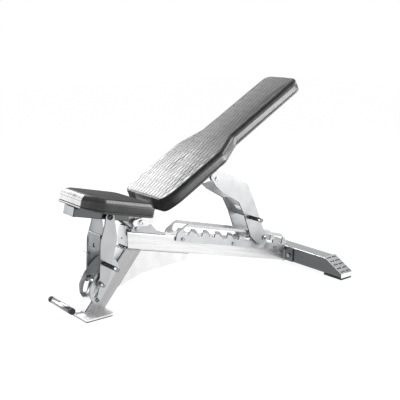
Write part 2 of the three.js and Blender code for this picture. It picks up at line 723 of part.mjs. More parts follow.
function pivotBracket() {
  const top = BRACKET_BASE + GAP;
  const base = plate([
    onBeam(BRACKET_BASE_START, GAP),
    onBeam(BRACKET_BASE_END, GAP),
    onBeam(BRACKET_BASE_END, top),
    onBeam(BRACKET_BASE_START, top),
  ].map(([x, z]) => new THREE.Vector2(x, z)), -LUG_OUTER, LUG_OUTER);
  const foot = (distance) => onBeam(distance, GAP);
  const lugPoints = rounded([
    foot(BRACKET_START),
    foot(BRACKET_END),
    [...onBeam(BRACKET_END, top + 2), 2],
    [BACK_PIVOT[0] + 52, BACK_PIVOT[1] - 12, 8],
    [BACK_PIVOT[0] + 20, BACK_PIVOT[1] + 17, 16],
    [BACK_PIVOT[0] - 14, BACK_PIVOT[1] + 17, 14],
    [SEAT_PIVOT[0] - 20, SEAT_PIVOT[1] + 6, 16],
  ]);
  const bores = [
    crossBar(SEAT_PIVOT, SEAT_PIVOT_RADIUS + RUN, -TUBE, TUBE),
    crossBar(BACK_PIVOT, PIVOT_RADIUS + RUN, -TUBE, TUBE),
  ];
  const lugs = [-1, 1].map((side) => sidePlate(side, lugPoints, LUG_INNER, LUG_OUTER));
  add('pivot_bracket', cut(join(base, ...lugs), ...bores), BRUSHED);
}

function pivots() {
  const railOuter = RAIL_INNER + RAIL_THICKNESS;
  const boltHead = [PIVOT_HEAD_RADIUS, PIVOT_HEAD];
  add('back_pivot_bolt', throughBolt(BACK_PIVOT, PIVOT_RADIUS, railOuter, ...boltHead), BOLT);
  bothSides((side, label) => {
    const sleeve = sideBar(side, BACK_PIVOT, PIVOT_HEAD_RADIUS, LUG_OUTER + GAP, RAIL_INNER - GAP);
    const bore = crossBar(BACK_PIVOT, PIVOT_RADIUS + RUN, -TUBE, TUBE);
    add(`back_pivot_sleeve_${label}`, cut(sleeve, bore), CHROME);
  });
  add('seat_pivot_bolt', throughBolt(SEAT_PIVOT, SEAT_PIVOT_RADIUS, LUG_OUTER, 10, SEAT_PIVOT_HEAD), BOLT);
}

// ---------------------------------------------------------------- seat

function seat() {
  const half = SEAT_WIDTH / 2;
  const plan = rounded([
    [0, -half + SEAT_CHAMFER, SEAT_FRONT_RADIUS],
    [SEAT_CHAMFER, -half, SEAT_CORNER_RADIUS],
    [SEAT_LENGTH, -half, SEAT_CORNER_RADIUS],
    [SEAT_LENGTH, half, SEAT_CORNER_RADIUS],
    [SEAT_CHAMFER, half, SEAT_CORNER_RADIUS],
    [0, half - SEAT_CHAMFER, SEAT_FRONT_RADIUS],
  ]);
  add('seat_pad', pad(plan, SEAT_THICKNESS, SEAT_CORNER, -SEAT_ANGLE), VINYL);
  carrier();
}

function carrier() {
  const tube = squareTube(CARRIER_WIDTH, CARRIER_HEIGHT, CARRIER_WALL, 5, CARRIER_LENGTH - CAP_THICKNESS);
  placeTube(tube, onSeat(CAP_THICKNESS + GAP, CARRIER_TOP - CARRIER_HEIGHT / 2), -SEAT_ANGLE);
  const strutBore = crossBar(STRUT_TOP, PIVOT_RADIUS + RUN, -TUBE, TUBE);
  const screwHoles = SEAT_SCREW_POSITIONS.map((distance) => {
    return uprightBar(distance, SCREW_RADIUS + RUN, CARRIER_LOW - 5, CARRIER_TOP + 5);
  });
  add('seat_carrier', cut(tube, strutBore, ...screwHoles), BRUSHED);
  const cap = new THREE.BoxGeometry(CAP_THICKNESS, CARRIER_WIDTH, CARRIER_HEIGHT);
  cap.translate(CAP_THICKNESS / 2, 0, CARRIER_TOP - CARRIER_HEIGHT / 2);
  add('seat_carrier_cap', placeTube(cap, SEAT_CORNER, -SEAT_ANGLE), BRUSHED);
  // the hinge plates close the rear end of the carrier and reach down to the pivot
  const behind = CARRIER_LENGTH + GAP;
  const points = [
    onSeat(behind + HINGE_DEPTH, CARRIER_TOP - GAP),
    onSeat(behind, CARRIER_TOP - GAP),
    onSeat(behind, CARRIER_LOW - GAP),
    onSeat(behind - HINGE_TAB, CARRIER_LOW - GAP),
  ].map(([x, z]) => new THREE.Vector2(x, z));
  points.push(...arc(SEAT_PIVOT, SEAT_EYE_RADIUS, HINGE_EYE_FROM, HINGE_EYE_TO, 10));
  const outer = LUG_INNER - 1;
  bothSides((side, label) => {
    const hole = circle(SEAT_PIVOT, SEAT_PIVOT_RADIUS + RUN);
    const cheek = sidePlate(side, points, outer - LUG_THICKNESS, outer, [hole]);
    add(`seat_hinge_${label}`, cheek, PLATE);
  });
  const boltHead = [STRUT_BOLT_HEAD_RADIUS, STRUT_BOLT_HEAD];
  add('strut_bolt', throughBolt(STRUT_TOP, PIVOT_RADIUS, STRUT_OUTER, ...boltHead), BOLT);
  SEAT_SCREW_POSITIONS.forEach((distance, i) => {
    const head = uprightBar(distance, SCREW_HEAD_RADIUS, CARRIER_LOW - SCREW_HEAD, CARRIER_LOW - GAP, 6);
    const shank = uprightBar(distance, SCREW_RADIUS, CARRIER_LOW - 3, CARRIER_TOP - 1);
    add(`seat_screw_${['front', 'rear'][i]}`, join(head, shank), BOLT);
  });
}

// a round bar at right angles to the seat, on the middle line
function uprightBar(distance, radius, low, high, sides = 16) {
  const bar = new THREE.CylinderGeometry(radius, radius, high - low, sides);
  bar.rotateX(Math.PI / 2);
  bar.translate(distance, 0, (low + high) / 2);
  return placeTube(bar, SEAT_CORNER, -SEAT_ANGLE);
}

// ---------------------------------------------------------------- seat strut and its slots

const SEAT_ARM = Math.hypot(STRUT_TOP[0] - SEAT_PIVOT[0], STRUT_TOP[1] - SEAT_PIVOT[1]);
const SEAT_ARM_ANGLE = THREE.MathUtils.radToDeg(
  Math.atan2(STRUT_TOP[1] - SEAT_PIVOT[1], STRUT_TOP[0] - SEAT_PIVOT[0]),
);

// the strut keeps its own direction, so its lower pin follows the same arc as its top
const SLOT_CENTRE = [
  STRUT_BOTTOM[0] - SEAT_ARM * Math.cos(rad(SEAT_ARM_ANGLE)),
  STRUT_BOTTOM[1] - SEAT_ARM * Math.sin(rad(SEAT_ARM_ANGLE)),
];

function arc([x, z], radius, from, to, pieces = 8) {
  return Array.from({ length: pieces + 1 }, (_, k) => {
    const angle = rad(from + ((to - from) * k) / pieces);
    return new THREE.Vector2(x + radius * Math.cos(angle), z + radius * Math.sin(angle));
  });
}

// a curved slot with round ends, wide enough for the strut's lower pin
function slotHole() {
  const half = STRUT_PIN_RADIUS + SLOT_CLEARANCE;
  const top = SEAT_ARM_ANGLE - 1;
  const bottom = SEAT_ARM_ANGLE + SEAT_TRAVEL + SLOT_EXTRA;
  const onMiddle = (degrees) => along(SLOT_CENTRE, degrees, SEAT_ARM);
  return [
    ...arc(SLOT_CENTRE, SEAT_ARM + half, top, bottom),
    ...arc(onMiddle(bottom), half, bottom + 15, bottom + 165, 6),
    ...arc(SLOT_CENTRE, SEAT_ARM - half, bottom, top),
    ...arc(onMiddle(top), half, top + 195, top + 345, 6),
  ];
}

function slotPlates() {
  const inner = TUBE / 2 + GAP;
  const outer = inner + SLOT_PLATE_THICKNESS;
  const points = rounded([
    [184, 168, 10],
    [172, 196, 12],
    [148, 206, 14],
    [112, 184, 30],
    [76, 146, 40],
    [53, 106, 30],
    [54, 66, 24],
    [70, 40, 14],
    [94, 42, 14],
  ]);
  bothSides((side, label) => {
    const holes = [slotHole(), circle(SLOT_BOLT, RACK_BOLT_RADIUS + RUN, 16)];
    add(`slot_plate_${label}`, sidePlate(side, points, inner, outer, holes), PLATE);
  });
  const boltHead = [SLOT_BOLT_HEAD_RADIUS, SLOT_BOLT_HEAD];
  add('slot_plate_bolt', throughBolt(SLOT_BOLT, RACK_BOLT_RADIUS, outer, ...boltHead), CHROME);
}

function strut() {
  const [tx, tz] = STRUT_TOP;
  const [bx, bz] = STRUT_BOTTOM;
  const points = rounded([
    [tx + 17, tz + 14, 14],
    [tx - 17, tz + 14, 14],
    [tx - 22, tz - 26, 30],
    [tx - 45, tz - 92, 60],
    [bx + 3, bz + 86, 40],
    [bx - 1, bz + 24, 6],
    [bx - 13, bz + 8, 8],
    [bx - 12, bz - 13, 10],
    [bx + 20, bz - 17, 14],
    [bx + 42, bz + 12, 40],
    [bx + 54, bz + 72, 60],
    [tx + 27, tz - 100, 40],
    [tx + 28, tz - 76, 30],
  ]);
  bothSides((side, label) => {
    const holes = [circle(STRUT_TOP, PIVOT_RADIUS + RUN), circle(STRUT_BOTTOM, STRUT_PIN_RADIUS + RUN)];
    const stub = circle(STRUT_STUB, STRUT_STUB_RADIUS + RUN, 16);
    holes.push(side < 0 ? circle(SEAT_GRIP, GRIP_ROD_RADIUS + RUN, 16) : stub);
    const geometry = sidePlate(side, points, STRUT_INNER, STRUT_OUTER, holes);
    add(`strut_${label}`, geometry, PLATE);
  });
  const half = STRUT_INNER - GAP;
  const web = plate(rounded([
    [104, 306, 2],
    [100, 246, 2],
    [107, 246, 2],
    [111, 306, 2],
  ]), -half, half);
  const hole = new THREE.CylinderGeometry(9, 9, 40, 16);
  hole.rotateZ(Math.PI / 2);
  hole.translate(105, 0, 258);
  add('strut_web', cut(web, hole), PLATE);
  const pin = crossBar(STRUT_BOTTOM, STRUT_PIN_RADIUS, -STRUT_PIN_HALF, STRUT_PIN_HALF);
  const collars = [-1, 1].map((side) => {
    const from = STRUT_OUTER + GAP;
    return sideBar(side, STRUT_BOTTOM, STRUT_PIN_RADIUS + 3, from, from + STRUT_COLLAR);
  });
  add('strut_pin', join(pin, ...collars), CHROME);
}

// ---------------------------------------------------------------- grips

// rod through a side plate with a flange inside, a rubber sleeve and a bright tip
function grip(name, side, centre, face, inner, length) {
  const tipFrom = face + length - GRIP_TIP;
  const rod = sideBar(side, centre, GRIP_ROD_RADIUS, inner, tipFrom + 2, 16);
  const tip = sideBar(side, centre, GRIP_TIP_RADIUS, tipFrom, face + length);
  add(`${name}_rod`, join(rod, tip), CHROME);
  const sleeve = sideBar(side, centre, GRIP_RADIUS, face + GAP, tipFrom - GAP);
  const bore = sideBar(side, centre, GRIP_ROD_RADIUS + RUN, face - 5, tipFrom + 5, 16);
  add(`${name}_sleeve`, cut(sleeve, bore), RUBBER);
}

function seatGrip() {
  grip('seat_grip', -1, SEAT_GRIP, STRUT_OUTER, STRUT_INNER + 1, SEAT_GRIP_LENGTH);
  const stubEnd = STRUT_OUTER + STRUT_STUB_LENGTH;
  add('strut_stub', sideBar(1, STRUT_STUB, STRUT_STUB_RADIUS, STRUT_INNER + 1, stubEnd, 16), CHROME);
}

// ---------------------------------------------------------------- backrest

function backPlan() {
  const hip = BACK_HIP_WIDTH / 2;
  const head = BACK_HEAD_WIDTH / 2;
  return rounded([
    [0, -hip + 14, 30],
    [60, -hip, 120],
    [BACK_NECK_START, -hip, 50],
    [BACK_NECK_END, -head, 60],
    [BACK_LENGTH, -head, BACK_CORNER_RADIUS],
    [BACK_LENGTH, head, BACK_CORNER_RADIUS],
    [BACK_NECK_END, head, 60],
    [BACK_NECK_START, hip, 50],
    [60, hip, 120],
    [0, hip - 14, 30],
  ]);
}

function backrest() {
  add('back_pad', pad(backPlan(), BACK_THICKNESS, BACK_CORNER, BACK_ANGLE), VINYL);
  const low = (distance, drop) => onBack(distance, -drop);
  const lugGap = 26;
  const [ax, az] = ARM_PIVOT;
  const points = rounded([
    [...onBack(RAIL_LENGTH, 0), 4],
    [...onBack(6, 0), 8],
    [BACK_PIVOT[0] + 42, BACK_PIVOT[1] + 21, 14],
    [BACK_PIVOT[0] - 4, BACK_PIVOT[1] + 17, 16],
    [BACK_PIVOT[0] - 42, BACK_PIVOT[1] + 14, 12],
    [BACK_PIVOT[0] - 32, BACK_PIVOT[1] - 10, 10],
    [BACK_PIVOT[0] + 28, BACK_PIVOT[1] - 18, 20],
    [...low(22, RAIL_DEPTH + 4), 30],
    [...low(200, RAIL_DEPTH), 30],
    [ax - lugGap, az - 4, 10],
    [ax - 6, az - 20, 14],
    [ax + 18, az - 12, 14],
    [...low(RAIL_NECK, RAIL_TAIL_DEPTH + 6), 40],
    [...low(RAIL_LENGTH, RAIL_TAIL_DEPTH), 8],
  ]);
  bothSides((side, label) => {
    const holes = [circle(BACK_PIVOT, PIVOT_RADIUS + RUN), circle(ARM_PIVOT, ARM_BOLT_RADIUS + RUN)];
    const geometry = sidePlate(side, points, RAIL_INNER, RAIL_INNER + RAIL_THICKNESS, holes);
    add(`back_rail_${label}`, geometry, PLATE);
    const face = ARM_INNER + ARM_THICKNESS;
    const bolt = join(
      sideBar(side, ARM_PIVOT, ARM_BOLT_RADIUS, RAIL_INNER - 3, face + 3, 16),
      sideBar(side, ARM_PIVOT, ARM_BOLT_HEAD_RADIUS, face + GAP, face + ARM_BOLT_HEAD, 6),
    );
    add(`arm_pivot_bolt_${label}`, bolt, BOLT);
  });
  const barHalf = RAIL_INNER - GAP;
  CROSS_BAR_POSITIONS.forEach((distance, i) => {
    const wall = 3;
    const channel = plate([
      onBack(distance, -GAP),
      onBack(distance, -CROSS_BAR_HEIGHT),
      onBack(distance + wall, -CROSS_BAR_HEIGHT),
      onBack(distance + wall, -GAP - wall),
      onBack(distance + CROSS_BAR_WIDTH - wall, -GAP - wall),
      onBack(distance + CROSS_BAR_WIDTH - wall, -CROSS_BAR_HEIGHT),
      onBack(distance + CROSS_BAR_WIDTH, -CROSS_BAR_HEIGHT),
      onBack(distance + CROSS_BAR_WIDTH, -GAP),
    ].map(([x, z]) => new THREE.Vector2(x, z)), -barHalf, barHalf);
    add(`back_cross_bar_${['lower', 'upper'][i]}`, channel, PLATE);
  });
}

// ---------------------------------------------------------------- support arm

const LOCK_PIN = onBeam(LOCK_PIN_REST, LOCK_PIN_HEIGHT);

function arm() {
  const [ax, az] = ARM_PIVOT;
  const [px, pz] = LOCK_PIN;
  const outline = rounded([
    [ax - 32, az + 8, 14],
    [ax - 4, az - 30, 40],
    [ax + 34, az - 64, 20],
    [ax + 124, az - 117, 24],
    [ax + 156, az - 178, 30],
    [px - 78, pz + 18, 8],
    [px - 24, pz - 34, 8],
    [px + 12, pz - 16, 14],
    [px + 2, pz + 30, 20],
    [px - 40, pz + 128, 60],
    [px - 82, pz + 222, 30],
    [px - 102, pz + 258, 14],
    [ax + 98, az - 4, 60],
    [ax + 22, az + 28, 30],
    [ax - 20, az + 34, 20],
  ]);
  const outer = ARM_INNER + ARM_THICKNESS;
  bothSides((side, label) => {
    const holes = [
      circle(ARM_PIVOT, ARM_BOLT_RADIUS + RUN),
      circle(LOCK_PIN, LOCK_PIN_RADIUS + RUN),
    ];
    if (side < 0) {
      holes.push(circle(ARM_GRIP, GRIP_ROD_RADIUS + RUN, 16));
    }
    add(`support_arm_${label}`, sidePlate(side, outline, ARM_INNER, outer, holes), PLATE);
  });
  const pin = crossBar(LOCK_PIN, LOCK_PIN_RADIUS, -outer - LOCK_PIN_END, outer + LOCK_PIN_END);
  const heads = [-1, 1].map((side) => {
    return sideBar(side, LOCK_PIN, LOCK_PIN_RADIUS + 4, outer + GAP, outer + LOCK_PIN_END);
  });
  add('lock_pin', join(pin, ...heads), CHROME);
  armWeb();
  grip('arm_grip', -1, ARM_GRIP, outer, ARM_INNER + 1, ARM_GRIP_LENGTH);
}

// plate between the two arms with a rectangular window
function armWeb() {
  const half = ARM_INNER - GAP;
  const top = [ARM_PIVOT[0] + WEB_TOP_FROM_PIVOT[0], ARM_PIVOT[1] + WEB_TOP_FROM_PIVOT[1]];
  const bottom = [LOCK_PIN[0] + WEB_BOTTOM_FROM_PIN[0], LOCK_PIN[1] + WEB_BOTTOM_FROM_PIN[1]];
  const length = Math.hypot(top[0] - bottom[0], top[1] - bottom[1]);
  const angle = THREE.MathUtils.radToDeg(Math.atan2(top[1] - bottom[1], top[0] - bottom[0]));
  const web = new THREE.BoxGeometry(length, 2 * half, WEB_THICKNESS);
  const window = new THREE.BoxGeometry(WEB_HOLE_HEIGHT, WEB_HOLE_WIDTH, 4 * WEB_THICKNESS);
  const geometry = cut(web, window);
  geometry.translate(length / 2, 0, 0);
  add('arm_web', placeTube(geometry, bottom, angle), PLATE);
}

// ---------------------------------------------------------------- assembly

frontFoot();
frontLeg();
gussets();
transportHandle();
rearFoot();
rearFlange();
mainBeam();
beamCap();
racks();
pivotBracket();
pivots();
slotPlates();
seat();
strut();
seatGrip();
backrest();
arm();

const frontmost = HANDLE_X - HANDLE_RADIUS;
const rearmost = REAR_FOOT_FRONT_X + TUBE;
bench.position.x = -(frontmost + rearmost) / 2;

export default bench;
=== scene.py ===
"""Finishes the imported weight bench: upholstered pads, brushed and plated steel, rubber, fasteners and a studio.

Lengths are in metres in the part's own frame: X from the front foot to the rear foot, Y across the
bench with the grips at -Y, and Z up from the floor.
"""

import json
import math

import bmesh
import bpy
import numpy as np
from bpy.props import FloatProperty, FloatVectorProperty, IntProperty, PointerProperty
from mathutils import Matrix, Vector
from mathutils.bvhtree import BVHTree
from mathutils.geometry import convex_hull_2d


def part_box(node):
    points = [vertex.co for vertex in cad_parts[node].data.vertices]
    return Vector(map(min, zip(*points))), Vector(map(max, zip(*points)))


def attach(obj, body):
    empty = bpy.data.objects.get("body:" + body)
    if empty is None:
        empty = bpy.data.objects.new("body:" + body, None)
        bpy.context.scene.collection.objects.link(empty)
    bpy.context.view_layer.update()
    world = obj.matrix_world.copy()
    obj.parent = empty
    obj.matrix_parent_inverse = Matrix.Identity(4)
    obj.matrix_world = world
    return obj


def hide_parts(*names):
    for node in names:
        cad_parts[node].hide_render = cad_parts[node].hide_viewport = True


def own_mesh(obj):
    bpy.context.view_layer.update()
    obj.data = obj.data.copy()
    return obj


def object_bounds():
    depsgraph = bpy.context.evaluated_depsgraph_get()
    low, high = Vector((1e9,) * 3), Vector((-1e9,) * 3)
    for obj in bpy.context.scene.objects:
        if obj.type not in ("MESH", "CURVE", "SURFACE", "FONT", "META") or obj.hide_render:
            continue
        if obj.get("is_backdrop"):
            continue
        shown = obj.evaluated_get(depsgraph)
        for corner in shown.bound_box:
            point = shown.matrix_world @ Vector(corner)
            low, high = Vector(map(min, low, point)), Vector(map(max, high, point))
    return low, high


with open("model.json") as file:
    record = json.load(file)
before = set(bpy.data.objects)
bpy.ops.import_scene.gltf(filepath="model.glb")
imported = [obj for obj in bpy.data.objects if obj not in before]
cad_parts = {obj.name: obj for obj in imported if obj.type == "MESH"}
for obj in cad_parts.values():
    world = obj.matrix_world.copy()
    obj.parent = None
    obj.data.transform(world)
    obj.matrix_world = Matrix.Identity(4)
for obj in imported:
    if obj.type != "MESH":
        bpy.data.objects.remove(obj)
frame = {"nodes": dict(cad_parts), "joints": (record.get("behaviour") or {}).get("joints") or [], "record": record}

bl_info = {
    "name": "Weight bench finish",
    "version": (1, 0, 0),
    "blender": (4, 5, 0),
    "location": "View3D > Sidebar > Bench",
    "description": "Builds the upholstery, metal finishes, fasteners and studio of an adjustable bench",
    "category": "Object",
}

MM = 0.001
BODY_OF = {node: body for body, nodes in frame["record"]["behaviour"]["bodies"].items() for node in nodes}
JOINTS = {joint["name"]: joint for joint in frame["joints"]}
SEAT_SLOPE = -JOINTS["seat_tilt"]["range_deg"][1]
BACK_SLOPE = -JOINTS["back_tilt"]["range_deg"][0]
BEAM_SLOPE = math.radians(14.26)  # fall of the beam towards the rear foot
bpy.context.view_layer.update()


# ------------------------------------------------------------------ colours and nodes


def linear(hex_colour):
    """An sRGB hex colour as linear red, green and blue."""
    parts = [int(hex_colour[i:i + 2], 16) / 255 for i in (1, 3, 5)]
    return tuple(c / 12.92 if c <= 0.04045 else ((c + 0.055) / 1.055) ** 2.4 for c in parts)


def feed(node, inputs):
    """Sets a node's inputs, by name or number, to values or to what another node gives."""
    for key, value in inputs.items():
        if isinstance(value, bpy.types.Node):
            value = value.outputs[0]
        if isinstance(value, bpy.types.NodeSocket):
            node.id_data.links.new(value, node.inputs[key])
        else:
            node.inputs[key].default_value = value


def add_node(tree, kind, inputs=None, **settings):
    """Adds a node with its settings and feeds its inputs."""
    made = tree.nodes.new(kind)
    for name, value in settings.items():
        setattr(made, name, value)
    feed(made, inputs or {})
    return made


# ------------------------------------------------------------------ settings


def length(name, description, default):
    """A length property in metres."""
    return FloatProperty(name=name, description=description, default=default, min=0, unit="LENGTH")


def share(name, description, default):
    """A property between none and all."""
    return FloatProperty(name=name, description=description, default=default, min=0, max=1, subtype="FACTOR")


def colour(name, description, hex_colour):
    """A colour property with an sRGB hex default."""
    return FloatVectorProperty(name=name, description=description, default=linear(hex_colour),
                               size=3, min=0, max=1, subtype="COLOR")


def number(name, description, default):
    """A plain number property."""
    return FloatProperty(name=name, description=description, default=default, min=0)


class BenchSizes(bpy.types.PropertyGroup):
    """Sizes of the details that are made here."""

    edge: length("Broken edge", "Width of the rounded edge of plates and tubes", 0.6 * MM)
    rubber_edge: length("Rubber edge", "Width of the rounded edge of moulded rubber", 1.2 * MM)
    crown: length("Crown", "Most that the filled pads may swell", 5 * MM)
    seat_ease: length("Seat ease", "How much larger than its block the seat's cover is cut", 2.5 * MM)
    back_ease: length("Backrest ease", "How much larger than its block the backrest's cover is cut", 1.5 * MM)
    back_give: share("Backrest give", "Share of its length the cover keeps when it is upright", 0.984)
    head_ease: length("Head ease", "How much longer the backrest's cover is at the head end", 8 * MM)
    seat_edge: length("Seat edge", "Bevel of the seat pad between top and side", 16 * MM)
    back_edge: length("Backrest edge", "Rounding of the backrest pad between top and side", 8.5 * MM)
    voxel: length("Pad grid", "Mesh size of the pads while they are filled", 6 * MM)
    welt_drop: length("Welt drop", "Distance of the upper seam below the rounding of a pad", 4 * MM)
    hem_rise: length("Hem rise", "Distance of the lower seam above the base of a pad", 10.5 * MM)
    diamond_width: length("Diamond width", "Width of the embossed diamonds of the backrest", 19 * MM)
    diamond_length: length("Diamond length", "Length of the embossed diamonds of the backrest", 77 * MM)
    emboss: length("Emboss depth", "Depth of the embossed lines", 0.5 * MM)
    emboss_width: length("Emboss width", "Half width of an embossed line", 1.2 * MM)
    border: length("Plain border", "Width of the smooth border round the diamonds", 12 * MM)
    stroke_pitch: length("Stroke pitch", "Distance between the embossed strokes on the seat's edge", 14 * MM)
    stitch_pitch: length("Stitch pitch", "Distance between stitches", 5.5 * MM)
    stitch: length("Stitch", "Length of one stitch", 3.2 * MM)
    thread: length("Thread", "Thickness of the thread", 0.8 * MM)
    rib_pitch: length("Rib pitch", "Distance between the ribs of a grip", 3.4 * MM)
    rib: length("Rib", "Half height of a rib of a grip", 1.0 * MM)
    weld_pitch: length("Weld pitch", "Distance between the ripples of a weld", 2.2 * MM)
    weld: length("Weld", "Leg of a weld bead", 3.2 * MM)
    seed: IntProperty(name="Seed", description="Seed of the weld's ripples", default=7)


class BenchColours(bpy.types.PropertyGroup):
    """Colours of the finishes."""

    beam: colour("Beam", "Brushed stainless tube of the beam", "#ebebec")
    # the leg is the same brushed steel as the beam; its darker tone is painted shade
    leg: colour("Leg", "Brushed stainless tube of the front leg", "#b6b6b7")
    # the rear foot's dark tone is painted shade on the same brushed steel as the other tubes
    foot: colour("Foot", "Brushed stainless tube of the rear foot", "#646567")
    # the rear foot's top faces get a lighter tone: a painted highlight
    foot_top: colour("Foot, top", "Brushed top of the rear foot, painted lighter as a highlight", "#a9aaab")
    carrier: colour("Carrier", "Brushed tube under the seat", "#6c6d6f")
    plate: colour("Plate", "Ground steel plate", "#ececed")
    # racks, slots, arms and struts are the same ground plate as the plate above; their darker tones are painted
    # shade
    rack: colour("Rack", "Ground plate of the racks and slots", "#c8c9ca")
    arm: colour("Arm", "Ground plate of the support arm", "#bcbdbe")
    strut: colour("Strut", "Ground plate of the seat's strut", "#bebfc0")
    cut: colour("Cut edge", "Laser-cut edges of plates and pressed ribs", "#48494b")
    # a darker copy of the ground plate: painted shade on the strut web, the treads' tops and the leg's front face
    web: colour("Web", "Ground steel painted darker as shade: strut web, treads, leg's front", "#77787a")
    plug: colour("Plug", "Plate that closes the tube under the seat", "#505152")
    pin: colour("Pin", "Ground and hardened pins", "#94969a")
    chrome: colour("Chrome", "Chrome plating", "#8a8c8f")
    zinc: colour("Zinc", "Zinc plated fasteners", "#b5b7b9")
    bright: colour("Bright zinc", "Bright zinc plated pivot bolts", "#f2f2f3")
    black: colour("Black oxide", "Blackened bolt of the strut", "#56585a")
    rubber: colour("Rubber", "Moulded rubber", "#1b1c1d")
    vinyl: colour("Vinyl", "Upholstery vinyl", "#1f2021")
    vinyl_worn: colour("Vinyl, rubbed", "Raised parts of the vinyl's grain", "#2d2e2f")
    thread: colour("Thread", "Polyester thread", "#2e2f30")


class BenchStudio(bpy.types.PropertyGroup):
    """The studio and the camera."""

    floor: colour("Floor", "Colour of the floor", "#f4f4f4")
    surround: number("Surround", "Level of the light from all round", 0.62)
    horizon: number("Horizon", "Level of the gap behind the paper as reflections show it", 0.14)
    ceiling: number("Ceiling", "Level of the room overhead as reflections show it", 0.3)
    back_lamp: number("Back lamp", "Radiance of the soft box behind the backrest", 7.6)
    head_lamp: number("Head lamp", "Radiance of the soft box behind the head end", 1.3)
    side_lamp: number("Side lamp", "Radiance of the low soft box at the front right", 5.0)
    left_lamp: number("Left lamp", "Radiance of the soft box at the far left", 4.4)
    over_lamp: number("Overhead lamp", "Radiance of the soft box high at the right", 4.0)
    waist_lamp: number("Waist lamp", "Radiance of the low soft box at the right", 6.0)
    shadow: share("Shadow", "Share of the floor that shows the shadow", 0.14)
    paper_level: number("Paper level", "Light that the bare floor sends back", 0.6)
    lens: number("Lens", "Focal length in millimetres on a 36 mm sensor", 67.95)
    camera: FloatVectorProperty(name="Camera", description="Place of the camera", size=3,
                                default=(-1.85225, -2.3881, 1.085), subtype="TRANSLATION")
    camera_turn: FloatVectorProperty(
        name="Camera turn", description="Rotation of the camera", size=3, subtype="EULER",
        default=(math.radians(76.63), 0, math.radians(-38.74)))


# ------------------------------------------------------------------ materials


def surface(name, **values):
    """A material and its shader; values are the shader's own sockets."""
    made = bpy.data.materials.new(name)
    made.use_nodes = True
    shader = made.node_tree.nodes["Principled BSDF"]
    for label, value in values.items():
        socket = shader.inputs[label.replace("_", " ").title().replace("Ior", "IOR")]
        socket.default_value = (*value, 1) if isinstance(value, tuple) else value
    return made, shader


def pattern(shader, spacing, turn=(0, 0, 0), detail=2.0, rough=0.5):
    """Noise on the object's own coordinates; spacing is the grain's size along each turned axis."""
    tree = shader.id_data
    place = add_node(tree, "ShaderNodeTexCoord")
    mapped = add_node(tree, "ShaderNodeMapping", {
        "Vector": place.outputs["Object"], "Rotation": turn, "Scale": spacing}, vector_type="TEXTURE")
    return add_node(tree, "ShaderNodeTexNoise", {
        "Vector": mapped, "Scale": 1.0, "Detail": detail, "Roughness": rough})


def levelled(shader, factor, low, high, start=0.3, stop=0.7):
    """A number that goes from low to high while the factor goes from start to stop."""
    return add_node(shader.id_data, "ShaderNodeMapRange", {
        "Value": factor, "From Min": start, "From Max": stop, "To Min": low, "To Max": high})


def toned(shader, factor, dark, light):
    """Colours a surface between two tones by a factor."""
    # a mix holds its two colours in sockets 6 and 7 and gives the result in output 2
    mix = add_node(shader.id_data, "ShaderNodeMix", {
        0: factor, 6: (*dark, 1), 7: (*light, 1)}, data_type="RGBA")
    feed(shader, {"Base Color": mix.outputs[2]})


def raised(shader, height, distance, strength, under=None):
    """Adds relief to a surface, over the relief under it; distance is its real height."""
    relief = add_node(shader.id_data, "ShaderNodeBump", {
        "Height": height, "Distance": distance, "Strength": strength})
    if under:
        feed(relief, {"Normal": under})
    feed(shader, {"Normal": relief})
    return relief


def scaled(rgb, factor):
    """A colour made lighter or darker."""
    return tuple(min(1.0, c * factor) for c in rgb)


def worked_metal(name, rgb, shades, gloss, grain, broad=None, dull="grain", relief=None, **values):
    """Bare or plated metal whose tone and gloss follow a grain and, where given, a broader pattern.

    shades are its darkest and lightest tone as shares of the colour, gloss its lowest and highest
    roughness, dull the pattern that the roughness follows, and relief the grain's height and strength."""
    made, shader = surface(name, metallic=1.0, **values)
    fine = pattern(shader, *grain)
    source, limits, wide = fine, (0.3, 0.7), fine
    if broad:
        wide = pattern(shader, *broad)
        source = add_node(shader.id_data, "ShaderNodeMath", {0: fine, 1: wide}, operation="ADD")
        limits = (0.75, 1.25)
    dark, light = (scaled(rgb, shade) for shade in shades)
    toned(shader, levelled(shader, source, 0.0, 1.0, *limits), dark, light)
    feed(shader, {"Roughness": levelled(shader, fine if dull == "grain" else wide, *gloss)})
    if relief:
        raised(shader, fine, *relief)
    return made


PLAIN = (0, 0, 0)
ACROSS = (0, 0, math.pi / 2)
UPRIGHT = (0, math.pi / 2, 0)


def brushed_steel(name, rgb, along=None, dark=0.86):
    """Stainless tube, belt brushed along its length and clear coated.

    The belt leaves long parallel streaks, lighter and darker, and a sheen that runs across them.
    along is the tube that the streaks follow; without it they lie across the bench."""
    turn = grain_of(along) if along else ACROSS
    # belt scratches are about 0.3 mm apart; drawn 2 mm apart so that they show
    return worked_metal(name, rgb, (dark, 1.05), (0.21, 0.38), ((0.35, 2 * MM, 2 * MM), turn, 4.0, 0.65),
                        ((0.22, 14 * MM, 14 * MM), turn), relief=(0.05 * MM, 0.35),
                        coat_weight=0.15, coat_roughness=0.12)


def ground_plate(name, rgb, turn=PLAIN):
    """Laser-cut steel plate, ground with a pad and clear coated.

    The grinding leaves a fine cloudy grain with a faint direction, duller than the tubes."""
    # grinding marks of about 0.4 mm, drawn 2.4 mm wide so that they show
    return worked_metal(name, rgb, (0.92, 1.06), (0.28, 0.42), ((24 * MM, 2.4 * MM, 2.4 * MM), turn, 4.0, 0.6),
                        ((45 * MM, 45 * MM, 60 * MM), PLAIN, 3.0), "broad", (0.04 * MM, 0.3),
                        coat_weight=0.15, coat_roughness=0.15)


